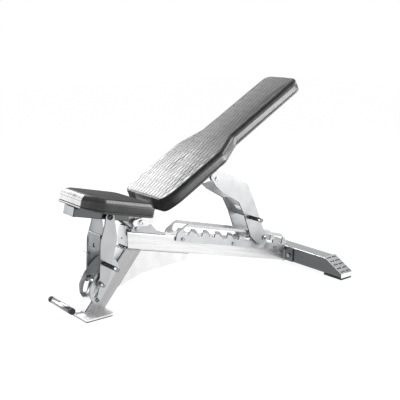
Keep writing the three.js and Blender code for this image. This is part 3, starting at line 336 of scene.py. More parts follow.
def laser_cut_edge(name, rgb):
    """Edge of a laser-cut plate: darker and duller than its faces, with the beam's striations."""
    # striations of about 0.3 mm, drawn 0.8 mm apart
    return worked_metal(name, rgb, (0.75, 1.15), (0.42, 0.55), ((0.8 * MM, 9 * MM, 0.8 * MM), PLAIN, 3.0),
                        relief=(0.04 * MM, 0.4))


def polished_bar(name, rgb):
    """Steel bar, polished and chromed or hardened: a mirror with faint hazy wear round it."""
    return worked_metal(name, rgb, (0.9, 1.0), (0.05, 0.11), ((12 * MM, 60 * MM, 12 * MM),))


def zinc_plating(name, rgb):
    """Cold-formed steel fastener, zinc plated: satin grey with slightly patchy brightness."""
    return worked_metal(name, rgb, (0.75, 1.1), (0.28, 0.42), ((5 * MM, 5 * MM, 5 * MM), PLAIN, 3.0),
                        relief=(0.03 * MM, 0.3))


def moulded_rubber(name, rgb):
    """Compression-moulded black rubber: matt, finely pitted, greyer where it is rubbed."""
    made, shader = surface(name, roughness=0.62, ior=1.52, specular_ior_level=0.4)
    # mould texture of about 0.5 mm, drawn at 1.5 mm
    pits = pattern(shader, (1.5 * MM, 1.5 * MM, 1.5 * MM))
    rubbed = pattern(shader, (18 * MM, 18 * MM, 18 * MM), detail=3.0)
    toned(shader, levelled(shader, rubbed, 0.0, 1.0), rgb, scaled(rgb, 2.2))
    raised(shader, pits, 0.15 * MM, 0.5)
    return made


def upholstery_vinyl(name, rgb, roughness=0.32):
    """PVC upholstery vinyl, calendered with a leather grain and lacquered.

    Nearly black with a soft gloss; the grain's pebbles catch the light and long faint streaks
    show where the sheet was stretched over the foam."""
    made, shader = surface(name, ior=1.54, coat_roughness=0.22, coat_ior=1.5)
    tree = shader.id_data
    place = add_node(tree, "ShaderNodeTexCoord")
    # leather pebbles of about 1.2 mm, drawn at 1.6 mm
    pebble = add_node(tree, "ShaderNodeTexVoronoi", {
        "Vector": place.outputs["Object"], "Scale": 1 / (1.6 * MM)}, feature="F1")
    cloud = pattern(shader, (30 * MM, 22 * MM, 30 * MM), detail=4.0)
    pressed, lacquer = (add_node(tree, "ShaderNodeAttribute", attribute_name=label).outputs["Fac"]
                        for label in ("pressed", "lacquer"))
    # the pressed lines and seam folds keep the darker base tone: painted shade in the creases
    free = add_node(tree, "ShaderNodeMath", {0: 1.0, 1: pressed}, operation="SUBTRACT")
    tone = add_node(tree, "ShaderNodeMath", {
        0: levelled(shader, cloud, 0.0, 1.0, 0.35), 1: free}, operation="MULTIPLY")
    toned(shader, tone, rgb, tuple(bpy.context.scene.bench_colours.vinyl_worn))
    # lacquer is how much of the cover's gloss is left: little where people sit, most on the ends
    worn = levelled(shader, lacquer, 0.26, 0.0, 0.0, 0.4)
    rough = add_node(tree, "ShaderNodeMath", {
        0: levelled(shader, cloud, roughness + 0.05, roughness - 0.04), 1: worn})
    # the pressed lines are matt, so they stay dark where the lacquer shines
    dull = add_node(tree, "ShaderNodeMath", {0: pressed, 1: 0.5, 2: rough}, operation="MULTIPLY_ADD")
    clear = levelled(shader, pressed, 1.0, 0.0, 0.1, 0.9)
    coat = add_node(tree, "ShaderNodeMath", {0: lacquer, 1: clear}, operation="MULTIPLY")
    feed(shader, {"Roughness": dull, "Coat Weight": coat,
                  "Specular IOR Level": levelled(shader, lacquer, 0.12, 0.6, 0.0, 0.4)})
    soft = raised(shader, cloud, 1.2 * MM, 0.25)
    raised(shader, pebble, 0.12 * MM, 0.35, soft)
    return made


def sewing_thread(name, rgb):
    """Bonded polyester thread: matt, twisted from plies 0.6 mm apart and drawn 1.2 mm apart."""
    made, shader = surface(name, roughness=0.7, sheen_weight=0.3)
    place = add_node(shader.id_data, "ShaderNodeTexCoord")
    plies = add_node(shader.id_data, "ShaderNodeTexWave", {
        "Vector": place.outputs["Object"], "Scale": 1 / (1.2 * MM)}, bands_direction="DIAGONAL")
    toned(shader, plies.outputs["Fac"], scaled(rgb, 0.7), scaled(rgb, 1.4))
    raised(shader, plies.outputs["Fac"], 0.1 * MM, 0.5)
    return made


def grain_of(node):
    """Rotation that lays a brushed grain along the longest straight edge of a tube or plate."""
    verts, faces = merged(node)
    edges = [verts[f[k]] - verts[f[k - 1]] for f in faces for k in range(len(f))]
    way = max(edges, key=lambda e: e.length)
    return (0, -math.atan2(way.z, way.x), 0) if way.x > 0 else (0, -math.atan2(-way.z, -way.x), 0)


# how each finish is made, its material's name and what its maker is told
FINISHES = {
    "beam": (brushed_steel, "stainless_tube_brushed_beam", {"along": "main_beam"}),
    "leg": (brushed_steel, "stainless_tube_brushed_leg", {"along": "front_leg", "dark": 0.92}),
    "foot": (brushed_steel, "stainless_tube_brushed_foot", {}),
    "foot_top": (brushed_steel, "stainless_tube_brushed_foot_top", {}),
    "carrier": (brushed_steel, "steel_tube_brushed_carrier", {"along": "seat_carrier"}),
    "base": (ground_plate, "steel_plate_ground_foot", {}),
    "plate": (ground_plate, "steel_plate_ground", {}),
    "rack": (ground_plate, "steel_plate_ground_rack", {}),
    "arm": (ground_plate, "steel_plate_ground_arm", {}),
    "strut": (ground_plate, "steel_plate_ground_strut", {"turn": UPRIGHT}),
    "cut": (laser_cut_edge, "steel_edge_laser_cut", {}),
    "web": (ground_plate, "steel_plate_ground_web", {}),
    "plug": (ground_plate, "steel_plate_ground_plug", {}),
    "pin": (polished_bar, "steel_bar_ground_pin", {}),
    "chrome": (polished_bar, "steel_bar_chromed", {}),
    "zinc": (zinc_plating, "steel_bolt_zinc_plated", {}),
    "bright": (zinc_plating, "steel_bolt_bright_zinc", {}),
    "black": (zinc_plating, "steel_bolt_black_oxide", {}),
    "rubber": (moulded_rubber, "rubber_moulded", {}),
    "vinyl": (upholstery_vinyl, "vinyl_upholstery_grained", {}),
    "thread": (sewing_thread, "polyester_thread", {}),
}
SHARED_TONES = {"base": "plate"}  # finishes that have the colour of another
MADE = {}


def finish(name):
    """One of the bench's materials, made when it is first asked for."""
    if name not in MADE:
        maker, label, told = FINISHES[name]
        tone = getattr(bpy.context.scene.bench_colours, SHARED_TONES.get(name, name))
        MADE[name] = maker(label, tuple(tone), **told)
    return MADE[name]


# ------------------------------------------------------------------ meshes


def new_piece(name, verts, faces, edges=()):
    """A smooth-shaded mesh object in the scene."""
    mesh = bpy.data.meshes.new(name)
    mesh.from_pydata([tuple(v) for v in verts], edges, [tuple(f) for f in faces])
    mesh.polygons.foreach_set("use_smooth", [True] * len(mesh.polygons))
    mesh.update()
    piece = bpy.data.objects.new(name, mesh)
    bpy.context.scene.collection.objects.link(piece)
    return piece


def bake(piece):
    """Turns a piece and its modifiers into a plain mesh."""
    graph = bpy.context.evaluated_depsgraph_get()
    mesh = bpy.data.meshes.new_from_object(piece.evaluated_get(graph))
    piece.modifiers.clear()
    piece.data = mesh
    return piece


def settle(piece, like, *nodes, slot=None):
    """Lets a piece ride on the body of a CAD node and stand for the nodes given; slot is not used."""
    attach(piece, BODY_OF[like])
    if nodes:
        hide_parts(*nodes)
    return piece


def paint(piece, name):
    """Gives a piece one material all over."""
    piece.data.materials.clear()
    piece.data.materials.append(finish(name))
    return piece


def edged(piece, name, chosen):
    """Gives the chosen faces another material."""
    piece.data.materials.append(finish(name))
    for face in piece.data.polygons:
        if chosen(face):
            face.material_index = len(piece.data.materials) - 1
    return piece


def above_largest(piece, height):
    """Picks the faces that stand higher than a height over the largest face that looks up."""
    floor = max((f for f in piece.data.polygons if f.normal.z > 0.6), key=lambda f: f.area)
    way, level = floor.normal.copy(), floor.center.dot(floor.normal) + height
    return lambda face: face.center.dot(way) > level


def merged(node):
    """Corner points and flat faces of a CAD node, with its loose triangles joined."""
    bm = bmesh.new()
    bm.from_mesh(frame["nodes"][node].data)
    bmesh.ops.remove_doubles(bm, verts=bm.verts, dist=0.01 * MM)
    bmesh.ops.dissolve_limit(bm, angle_limit=math.radians(0.5), verts=bm.verts, edges=bm.edges)
    bm.verts.index_update()
    verts = [v.co.copy() for v in bm.verts]
    faces = [[v.index for v in f.verts] for f in bm.faces]
    bm.free()
    return verts, faces


def softened(node, width):
    """A CAD node with its sharp edges broken, as a file or a tumbler leaves them."""
    piece = new_piece(node + "_finished", *merged(node))
    edge = piece.modifiers.new("edge", "BEVEL")
    edge.width = width
    edge.segments = 2
    edge.limit_method = "ANGLE"
    edge.angle_limit = math.radians(40)
    edge.use_clamp_overlap = False
    even = piece.modifiers.new("even", "WEIGHTED_NORMAL")
    even.mode = "FACE_AREA"
    even.weight = 100
    return bake(piece)


def hexagon(angle):
    """Radius of a hexagon of unit corner radius at an angle."""
    return math.cos(math.pi / 6) / math.cos((angle % (math.pi / 3)) - math.pi / 6)


def ringed(name, rings, sides=40, place=None):
    """A closed solid from rings round Z: (height, radius) or (height, radius, "hex"), poles at both ends."""
    verts, faces, loops = [], [], []
    for ring in rings:
        height, radius = ring[:2]
        if radius == 0:
            loops.append([len(verts)])
            verts.append(Vector((0, 0, height)))
            continue
        loops.append(list(range(len(verts), len(verts) + sides)))
        for k in range(sides):
            angle = 2 * math.pi * k / sides
            reach = radius * (hexagon(angle) if len(ring) == 3 else 1)
            verts.append(Vector((reach * math.cos(angle), reach * math.sin(angle), height)))
    for low, high in zip(loops, loops[1:]):
        for k in range(sides):
            j = (k + 1) % sides
            if len(low) == 1:
                faces.append((low[0], high[j], high[k]))
            elif len(high) == 1:
                faces.append((low[k], low[j], high[0]))
            else:
                faces.append((low[k], low[j], high[j], high[k]))
    if place is not None:
        verts = [place @ v for v in verts]
    piece = new_piece(name, verts, faces)
    piece.data.set_sharp_from_angle(angle=math.radians(38))
    return piece


def facing(start, end):
    """A transform that puts the origin at start and Z towards end."""
    turn = (Vector(end) - Vector(start)).to_track_quat("Z", "Y").to_matrix().to_4x4()
    return Matrix.Translation(start) @ turn


def cross_ends(node):
    """Inner and outer end of a bar that lies across the bench, and its radius."""
    low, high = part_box(node)
    centre = (low + high) / 2
    side = 1 if centre.y > 1 * MM else -1
    ends = sorted((low.y, high.y), key=lambda y: y * side)
    start, end = (Vector((centre.x, y, centre.z)) for y in ends)
    return start, end, (high.x - low.x) / 2


def turned_bar(node, suffix, profile, material, sides=40):
    """A bar across the bench that stands for its CAD node.

    profile is (millimetres, share of the radius) from the inner end, or from the outer end where it is
    below nought. The last ring is at the outer end."""
    start, end, radius = cross_ends(node)
    reach = (end - start).length
    rings = [(d * MM if d >= 0 else reach + d * MM, r * radius) for d, r in profile]
    rings[-1] = (reach, rings[-1][1])
    piece = ringed(node + suffix, [(rings[0][0], 0), *rings, (reach, 0)], sides, facing(start, end))
    return settle(paint(piece, material), node, node)


def both_ways(half):
    """The profile of a bar whose two ends are alike."""
    return half + [(-d, r) for d, r in half[::-1]]


# ------------------------------------------------------------------ geometry nodes

SOCKET_TYPES = {float: "NodeSocketFloat", int: "NodeSocketInt", tuple: "NodeSocketVector",
                bpy.types.Object: "NodeSocketObject", bpy.types.Material: "NodeSocketMaterial"}
TREES = {}


def node_tree(plan, values):
    """The tree that a plan lays out, with a named input for each value; made once for each plan."""
    if plan.__name__ in TREES:
        return TREES[plan.__name__]
    tree = bpy.data.node_groups.new(plan.__name__, "GeometryNodeTree")
    face = tree.interface
    face.new_socket("Geometry", in_out="INPUT", socket_type="NodeSocketGeometry")
    sockets = {label: face.new_socket(label, in_out="INPUT", socket_type=SOCKET_TYPES[type(value)])
               for label, value in values.items()}
    face.new_socket("Geometry", in_out="OUTPUT", socket_type="NodeSocketGeometry")
    given = add_node(tree, "NodeGroupInput").outputs
    real = add_node(tree, "GeometryNodeRealizeInstances", {"Geometry": plan(tree, given)})
    coated = add_node(tree, "GeometryNodeSetMaterial", {
        "Geometry": real, "Material": given["Material"]})
    add_node(tree, "NodeGroupOutput", {"Geometry": coated})
    TREES[plan.__name__] = (tree, {label: socket.identifier for label, socket in sockets.items()})
    return TREES[plan.__name__]


def grown(piece, plan, **values):
    """Runs a plan on a piece and keeps the result as a plain mesh."""
    values = {label.replace("_", " ").title(): value for label, value in values.items()}
    tree, names = node_tree(plan, values)
    modifier = piece.modifiers.new(plan.__name__, "NODES")
    modifier.node_group = tree
    for label, value in values.items():
        modifier[names[label]] = value
    return bake(piece)


def joined(tree, *shapes):
    """Several geometries as one."""
    node = add_node(tree, "GeometryNodeJoinGeometry")
    for shape in shapes:
        feed(node, {0: shape})
    return node


def heads_on_shank(tree, given):
    """A fastener's heads, put on one or both ends of its shank and turned outwards."""
    line = add_node(tree, "GeometryNodeMeshLine", {
        "Count": 2, "Start Location": given["Start"], "Offset": given["End"]}, mode="END_POINTS")
    index = add_node(tree, "GeometryNodeInputIndex")
    sign = add_node(tree, "ShaderNodeMath", {0: index, 1: 2.0, 2: -1.0}, operation="MULTIPLY_ADD")
    along = add_node(tree, "ShaderNodeVectorMath", {0: given["End"], 1: given["Start"]}, operation="SUBTRACT")
    way = add_node(tree, "ShaderNodeVectorMath", {
        0: along, "Scale": sign}, operation="SCALE")
    turn = add_node(tree, "FunctionNodeAlignRotationToVector", {"Vector": way}, axis="Z")
    head = add_node(tree, "GeometryNodeObjectInfo", {"Object": given["Head"]})
    size = add_node(tree, "ShaderNodeCombineXYZ", {
        0: given["Radius"], 1: given["Radius"], 2: given["Height"]})
    wanted = add_node(tree, "ShaderNodeMath", {0: index, 1: given["Both Ends"]}, operation="ADD")
    heads = add_node(tree, "GeometryNodeInstanceOnPoints", {
        "Points": line, "Selection": wanted, "Instance": head.outputs["Geometry"],
        "Rotation": turn, "Scale": size})
    return joined(tree, given["Geometry"], heads)


def ribs_on_core(tree, given):
    """Round ribs at an even pitch along a straight core."""
    line = add_node(tree, "GeometryNodeMeshLine", {
        "Count": given["Count"], "Start Location": given["Start"], "Offset": given["End"]}, mode="END_POINTS")
    along = add_node(tree, "ShaderNodeVectorMath", {0: given["End"], 1: given["Start"]}, operation="SUBTRACT")
    turn = add_node(tree, "FunctionNodeAlignRotationToVector", {"Vector": along}, axis="Z")
    ring = add_node(tree, "GeometryNodeCurvePrimitiveCircle", {"Resolution": 36, "Radius": given["Radius"]})
    bead = add_node(tree, "GeometryNodeCurvePrimitiveCircle", {"Resolution": 8, "Radius": given["Rib"]})
    rib = add_node(tree, "GeometryNodeCurveToMesh", {"Curve": ring, "Profile Curve": bead})
    ribs = add_node(tree, "GeometryNodeInstanceOnPoints", {
        "Points": line, "Instance": rib, "Rotation": turn})
    return joined(tree, given["Geometry"], ribs)


def links_along_path(tree, given):
    """Copies of a link, such as a stitch or a ripple of weld, along a path at an even pitch."""
    path = add_node(tree, "GeometryNodeMeshToCurve", {"Mesh": given["Geometry"]})
    points = add_node(tree, "GeometryNodeResampleCurve", {
        "Curve": path, "Length": given["Pitch"]}, mode="LENGTH")
    tangent = add_node(tree, "GeometryNodeInputTangent")
    turn = add_node(tree, "FunctionNodeAlignRotationToVector", {"Vector": tangent}, axis="X")
    link = add_node(tree, "GeometryNodeObjectInfo", {"Object": given["Link"]})
    chance = add_node(tree, "FunctionNodeRandomValue", {"Seed": given["Seed"]}, data_type="FLOAT")
    for label, value in (("Min", 0.85), ("Max", 1.15)):
        [s for s in chance.inputs if s.name == label and s.type == "VALUE"][0].default_value = value
    jitter = [s for s in chance.outputs if s.type == "VALUE"][0]
    size = add_node(tree, "ShaderNodeVectorMath", {0: given["Size"], "Scale": jitter}, operation="SCALE")
    links = add_node(tree, "GeometryNodeInstanceOnPoints", {
        "Points": points, "Instance": link.outputs["Geometry"],
        "Rotation": turn, "Scale": size})
    return links


def discard(*pieces):
    """Takes away helper objects."""
    for piece in pieces:
        bpy.data.objects.remove(piece)


def chain(name, points, link, size, pitch, material):
    """Links round a closed path of points, as one piece."""
    path = new_piece(name, points, [], [(k - 1, k) for k in range(1, len(points))] + [(len(points) - 1, 0)])
    seed = bpy.context.scene.bench_sizes.seed
    return grown(path, links_along_path, pitch=pitch, link=link, size=size, seed=seed,
                 material=finish(material))


# ------------------------------------------------------------------ pads


def slope_turn(degrees):
    """Turns distances along, across and above a slope into the part's frame."""
    return Matrix.Rotation(-math.radians(degrees), 3, "Y")


class PadShape:
    """The cut of a pad in its own slope: outline, rings of its sides and the top sheet."""

    def __init__(self, node, slope, columns, step, edge, corner, ease, longer):
        self.turn = slope_turn(slope)
        verts, _ = merged(node)
        local = np.array([self.turn.inverted() @ v for v in verts])
        self.base = local[:, 2].min()
        self.top = local[:, 2].max()
        self.thickness = self.top - self.base
        wall = abs(local[:, 2] - (self.base + self.top) / 2) < self.thickness / 2 - 9.5 * MM
        half = np.array(sorted({(round(s, 6), round(y, 6)) for s, y, _ in local[wall] if y > 0}))
        line = np.vstack(([half[0][0], 0], half, [half[-1][0], 0]))
        for _ in range(2):
            cut = np.stack((line[:-1] * 0.75 + line[1:] * 0.25, line[:-1] * 0.25 + line[1:] * 0.75), 1)
            line = np.vstack((line[:1], cut.reshape(-1, 2), line[-1:]))
        self.s0, self.s1 = line[0][0], line[-1][0]
        ends = [np.abs(line[:, 0] - s) < 0.01 * MM for s in (self.s0, self.s1)]
        line = line[np.flatnonzero(ends[0])[-1]:np.flatnonzero(ends[1])[0] + 1]
        reach = np.concatenate(([0], np.cumsum(np.hypot(*np.diff(line, axis=0).T))))
        count = int(reach[-1] / step) + 1
        at = np.linspace(0, reach[-1], count)
        self.s = np.interp(at, reach, line[:, 0])
        self.s += longer * (self.s - self.s0) / (self.s1 - self.s0)
        self.s1 += longer
        self.w = np.interp(at, reach, line[:, 1])
        self.v = np.linspace(-1, 1, columns + 1)
        self.inset = -ease
        self.edge = edge
        self.corner, self.welt = corner

    def sheet(self, inset):
        """Along and across positions of the grid when the outline is drawn in by inset."""
        span = self.s1 - self.s0
        s = self.s0 + inset + (self.s - self.s0) * (span - 2 * inset) / span
        w = self.w * (1 - inset / self.w.max())
        return np.repeat(s[:, None], len(self.v), 1), w[:, None] * self.v[None, :]

    def rim(self):
        """Indices of the grid's border, once round."""
        rows, cols = len(self.s), len(self.v)
        loop = [i * cols for i in range(rows)]
        loop += [(rows - 1) * cols + j for j in range(1, cols)]
        loop += [i * cols + cols - 1 for i in range(rows - 2, -1, -1)]
        loop += [j for j in range(cols - 2, 0, -1)]
        return np.array(loop)

    def rings(self):
        """Distance below the top, share of the edge's width and relief of each ring down the side."""
        sizes = bpy.context.scene.bench_sizes
        e, t = self.edge, self.thickness
        drop, hem = e + sizes.welt_drop, t - sizes.hem_rise
        rows = [(e * down, out, 0.0) for down, out in self.corner]
        rows.append((e, 1.0, 0.0))
        # millimetres below the seam's line and out of the side
        welt = ((-1.6, 0.0), (-0.9, 0.7), (0.0, 1.3), (0.9, 0.9), (1.6, -0.4), (2.3, -1.5), (3.2, -0.5),
                (4.6, 0.0))
        rows += [(drop + d * MM, 1.0, r * self.welt * MM) for d, r in welt]
        rows += [(drop + (hem - drop) * f, 1.0, 0.3 * MM) for f in (0.3, 0.45, 0.6, 0.75)]
        seam = ((-3.0, 0.3), (-1.6, 0.0), (-0.8, -1.0), (0.0, -2.0), (0.8, -1.0), (1.6, 0.1), (3.0, 0.4))
        rows += [(hem + d * MM, 1.0, r * MM) for d, r in seam]
        rows += [(t - 4.0 * MM, 1.0, 0.0), (t - 1.4 * MM, 0.8, 0.0), (t - 0.3 * MM, 0.45, 0.0), (t, 0.0, 0.0)]
        return rows

    def cut(self):
        """Points, faces, relief and rings of the pad before it is filled, in its own slope."""
        rows, cols = len(self.s), len(self.v)
        inner = np.stack(self.sheet(self.inset + self.edge), 2).reshape(-1, 2)
        outer = np.stack(self.sheet(self.inset), 2).reshape(-1, 2)
        verts = [np.column_stack((inner, np.full(len(inner), self.top - self.inset)))]
        faces = [(i * cols + j, (i + 1) * cols + j, (i + 1) * cols + j + 1, i * cols + j + 1)
                 for i in range(rows - 1) for j in range(cols - 1)]
        loop = self.rim()
        previous, relief, rings = loop, [np.zeros(len(inner))], [loop]
        shrink = (self.thickness - self.inset) / self.thickness
        for below, part, raised in self.rings():
            flat = inner[loop] + (outer[loop] - inner[loop]) * part
            start = sum(len(v) for v in verts)
            verts.append(np.column_stack((flat, np.full(len(loop), self.top - self.inset - below * shrink))))
            ring = np.arange(start, start + len(loop))
            ahead = np.roll(np.arange(len(loop)), -1)
            faces += [(previous[k], ring[k], ring[ahead[k]], previous[ahead[k]]) for k in range(len(loop))]
            relief.append(np.full(len(loop), raised))
            rings.append(ring)
            previous = ring
        near = previous[:rows]
        far = previous[rows + cols - 2:2 * rows + cols - 2][::-1]
        head = previous[rows - 1:rows + cols - 1]
        hip = np.concatenate((previous[2 * rows + cols - 3:], previous[:1]))
        for i in range(rows - 1):
            after = list(head)[::-1] if i == rows - 2 else [far[i + 1], near[i + 1]]
            before = [near[i], far[i]] if i else list(hip)[::-1]
            faces.append(tuple(after + before))
        return np.vstack(verts), faces, np.concatenate(relief), rings


# a pad's upper edge: shares of the edge's height and width, and how much of the welt shows below it
ROUNDED = ([(1 - math.cos(k * math.pi / 10), math.sin(k * math.pi / 10)) for k in (1, 2, 3, 4)], 1.0)
BEVELLED = ([(0.07, 0.27), (0.3, 0.48), (0.53, 0.68), (0.77, 0.88)], 0.25)
HEM_RING = -9  # ring of a pad's side that the stitches follow, just above the fold of the hem


def normals_of(piece):
    """Vertex normals of a piece."""
    flat = np.zeros(len(piece.data.vertices) * 3, np.float32)
    piece.data.vertices.foreach_get("normal", flat)
    return flat.reshape(-1, 3)


def evened(piece, values, passes):
    """Averages a value over each point's neighbours."""
    pairs = np.zeros(len(piece.data.edges) * 2, np.int64)
    piece.data.edges.foreach_get("vertices", pairs)
    a, b = pairs.reshape(-1, 2).T
    count = np.bincount(np.concatenate((a, b)), minlength=len(values)) + 1
    for _ in range(passes):
        total = values + np.bincount(a, values[b], len(values)) + np.bincount(b, values[a], len(values))
        values = total / count
    return values


FILL_PRESSURE = 4
FILL_FRAMES = 20
HELD_BASE = 4 * MM  # height of the edge that the base board holds still
FLAT_BASE = 14 * MM  # height over which the swelling starts
PROBE = 15 * MM  # how far inside the cover the blown-up copy is looked for


def filled(piece, shape):
    """How far the cover moves out when foam fills it: a closed copy is blown up as cloth on a held base."""
    sizes = bpy.context.scene.bench_sizes
    points = np.array([v.co for v in piece.data.vertices])
    bag = new_piece("filling", points, [tuple(p.vertices) for p in piece.data.polygons])
    grid = bag.modifiers.new("grid", "REMESH")
    grid.mode = "VOXEL"
    grid.voxel_size = sizes.voxel
    bake(bag)
    held = bag.vertex_groups.new(name="base")
    held.add([v.index for v in bag.data.vertices if v.co.z < shape.base + HELD_BASE], 1.0, "REPLACE")
    cloth = bag.modifiers.new("filling", "CLOTH")
    cloth.settings.use_pressure = True
    cloth.settings.uniform_pressure_force = FILL_PRESSURE
    cloth.settings.effector_weights.gravity = 0
    cloth.settings.vertex_group_mass = held.name
    cloth.point_cache.frame_end = FILL_FRAMES
    for step in range(1, FILL_FRAMES + 1):
        bpy.context.scene.frame_set(step)
    bake(bag)
    bpy.context.scene.frame_set(1)
    skin = BVHTree.FromPolygons([v.co.copy() for v in bag.data.vertices],
                                [tuple(p.vertices) for p in bag.data.polygons])
    discard(bag)
    swell = np.zeros(len(points))
    for i, (point, normal) in enumerate(zip(points, normals_of(piece))):
        away = Vector([float(c) for c in normal])
        hit = skin.ray_cast(Vector(point) - away * PROBE, away, 4 * PROBE)
        swell[i] = hit[3] - PROBE if hit[0] is not None else 0
    most = np.percentile(swell, 98)
    swell = swell * min(1.0, sizes.crown / max(most, 1e-6))
    swell = np.clip(swell, -1 * MM, sizes.crown)
    swell *= np.clip((points[:, 2] - shape.base) / FLAT_BASE, 0, 1)
    for _ in range(6):
        # foam fills any crease that the blown-up copy has folded
        swell = np.maximum(swell, evened(piece, swell, 70))
    return evened(piece, swell, 40)


FADE = 4 * MM  # width over which the pressed lines die out at the border


def diamonds(s, y, inside):
    """How far the long diamonds are pressed in, from 0 to 1; inside is the distance from the border."""
    sizes = bpy.context.scene.bench_sizes
    depth = np.zeros(len(s))
    for sign in (1, -1):
        phase = s / sizes.diamond_length + sign * y / sizes.diamond_width
        gap = np.abs(phase - np.round(phase)) * sizes.diamond_width
        depth = np.maximum(depth, np.exp(-(gap / sizes.emboss_width) ** 2))
    return depth * np.clip(inside / FADE, 0, 1)


def strokes(s, y, below, at_end):
    """How far the slanting strokes on the seat's edge are pressed in; below is the distance past the edge."""
    sizes = bpy.context.scene.bench_sizes
    along = np.where(at_end, y, s)
    phase = (along + below * 0.9) / sizes.stroke_pitch
    gap = np.abs(phase - np.round(phase)) * sizes.stroke_pitch
    inner, outer, fade = 9 * MM, 17 * MM, 3 * MM
    band = np.clip((below + inner) / fade, 0, 1) * np.clip((outer - below) / fade, 0, 1)
    return np.exp(-(gap / (1.6 * sizes.emboss_width)) ** 2) * band


LEAN_REACH = 70 * MM  # length of the hip end whose base is drawn out under the top


def upholstered(node, slope, grid, edge, corner, ease, press, gloss, longer=0.0, lean=0.0):
    """A filled and pressed pad for a CAD node; returns the piece, its points and its rings."""
    shape = PadShape(node, slope, *grid, edge, corner, ease, longer)
    verts, faces, relief, rings = shape.cut()
    piece = new_piece(node + "_upholstered", verts, faces)
    verts = verts + normals_of(piece) * filled(piece, shape)[:, None]
    piece.data.vertices.foreach_set("co", verts.astype(np.float32).ravel())
    piece.data.update()
    pressed = press(shape, verts, rings)
    verts = verts + normals_of(piece) * (relief - bpy.context.scene.bench_sizes.emboss * pressed)[:, None]
    if lean:
        low = (shape.top - verts[:, 2]) / shape.thickness
        end = np.clip(1 - (verts[:, 0] - shape.s0) / LEAN_REACH, 0, 1)
        verts[:, 0] -= lean * low * end * end
    shine = piece.data.attributes.new("lacquer", "FLOAT", "POINT")
    shine.data.foreach_set("value", gloss(shape, verts).astype(np.float32))
    placed = np.array([shape.turn @ Vector(v) for v in verts])
    piece.data.vertices.foreach_set("co", placed.astype(np.float32).ravel())
    bm = bmesh.new()
    bm.from_mesh(piece.data)
    bmesh.ops.recalc_face_normals(bm, faces=bm.faces)
    bm.to_mesh(piece.data)
    bm.free()
    # seam folds count as pressed: matt, and painted darker as crease shade in the vinyl's colour
    folded = np.clip(-relief / (1.5 * MM), 0, 1)
    mark = piece.data.attributes.new("pressed", "FLOAT", "POINT")
    mark.data.foreach_set("value", np.maximum(pressed, folded).astype(np.float32))
    paint(piece, "vinyl")
    settle(piece, node, node)
    return piece, placed, rings


# ------------------------------------------------------------------ small shapes that are repeated


def hex_head():
    """A hexagonal bolt head of unit size with a washer face and a chamfered top."""
    rings = [(0, 0), (0, 0.8), (0.08, 0.82), (0.08, 0.98, "hex"), (0.86, 0.98, "hex"), (1.0, 0.84), (1.0, 0)]
    return ringed("hex_head", rings, 24)


def button_head():
    """A round bolt head of unit size with a hexagonal socket."""
    rings = [(0, 0), (0, 1.0), (0.25, 1.0), (0.62, 0.92), (0.88, 0.75), (1.0, 0.56), (1.0, 0.5, "hex"),
             (0.4, 0.48, "hex"), (0.4, 0)]
    return ringed("button_head", rings, 24)


def bead():
    """A small ball of unit radius for threads and welds."""
    rings = [(-1, 0)] + [(math.sin(a), math.cos(a)) for a in (-0.9, -0.3, 0.3, 0.9)] + [(1, 0)]
    return ringed("bead", rings, 8)


def fastener_line(node, axis):
    """Where a fastener's heads sit: both ends of its shank, the two radii, head height, number of heads."""
    axis = Vector(axis).normalized()
    verts = merged(node)[0]
    along = [v.dot(axis) for v in verts]
    flat = [v - axis * t for v, t in zip(verts, along)]
    centre = sum(flat, Vector()) / len(flat)
    reach = [(f - centre).length for f in flat]
    widest = max(reach)
    head = [t for t, r in zip(along, reach) if r > 0.93 * widest]
    shank = sorted(r for r in reach if r < 0.9 * widest)
    halfway = (min(along) + max(along)) / 2
    low = [t for t in head if t < halfway]
    high = [t for t in head if t >= halfway]
    height = (max(high) - min(high)) if high else (max(low) - min(low))
    start = centre + axis * (max(low) if low else min(along))
    end = centre + axis * (min(high) if high else max(along))
    if not high:
        start, end = end, start
    return start, end, shank[len(shank) // 2], widest, height, bool(low and high)


def bolt(node, axis, head, material):
    """A fastener with a turned shank and formed heads."""
    start, end, shank, radius, height, both = fastener_line(node, axis)
    reach = (end - start).length
    core = ringed(node + "_formed", [(0, 0), (0, shank), (reach, shank), (reach, 0)], 24, facing(start, end))
    grown(core, heads_on_shank, start=tuple(start), end=tuple(end), radius=radius, height=height,
          both_ends=int(both), head=head, material=finish(material))
    core.data.set_sharp_from_angle(angle=math.radians(38))
    return settle(core, node, node)


# ------------------------------------------------------------------ operators


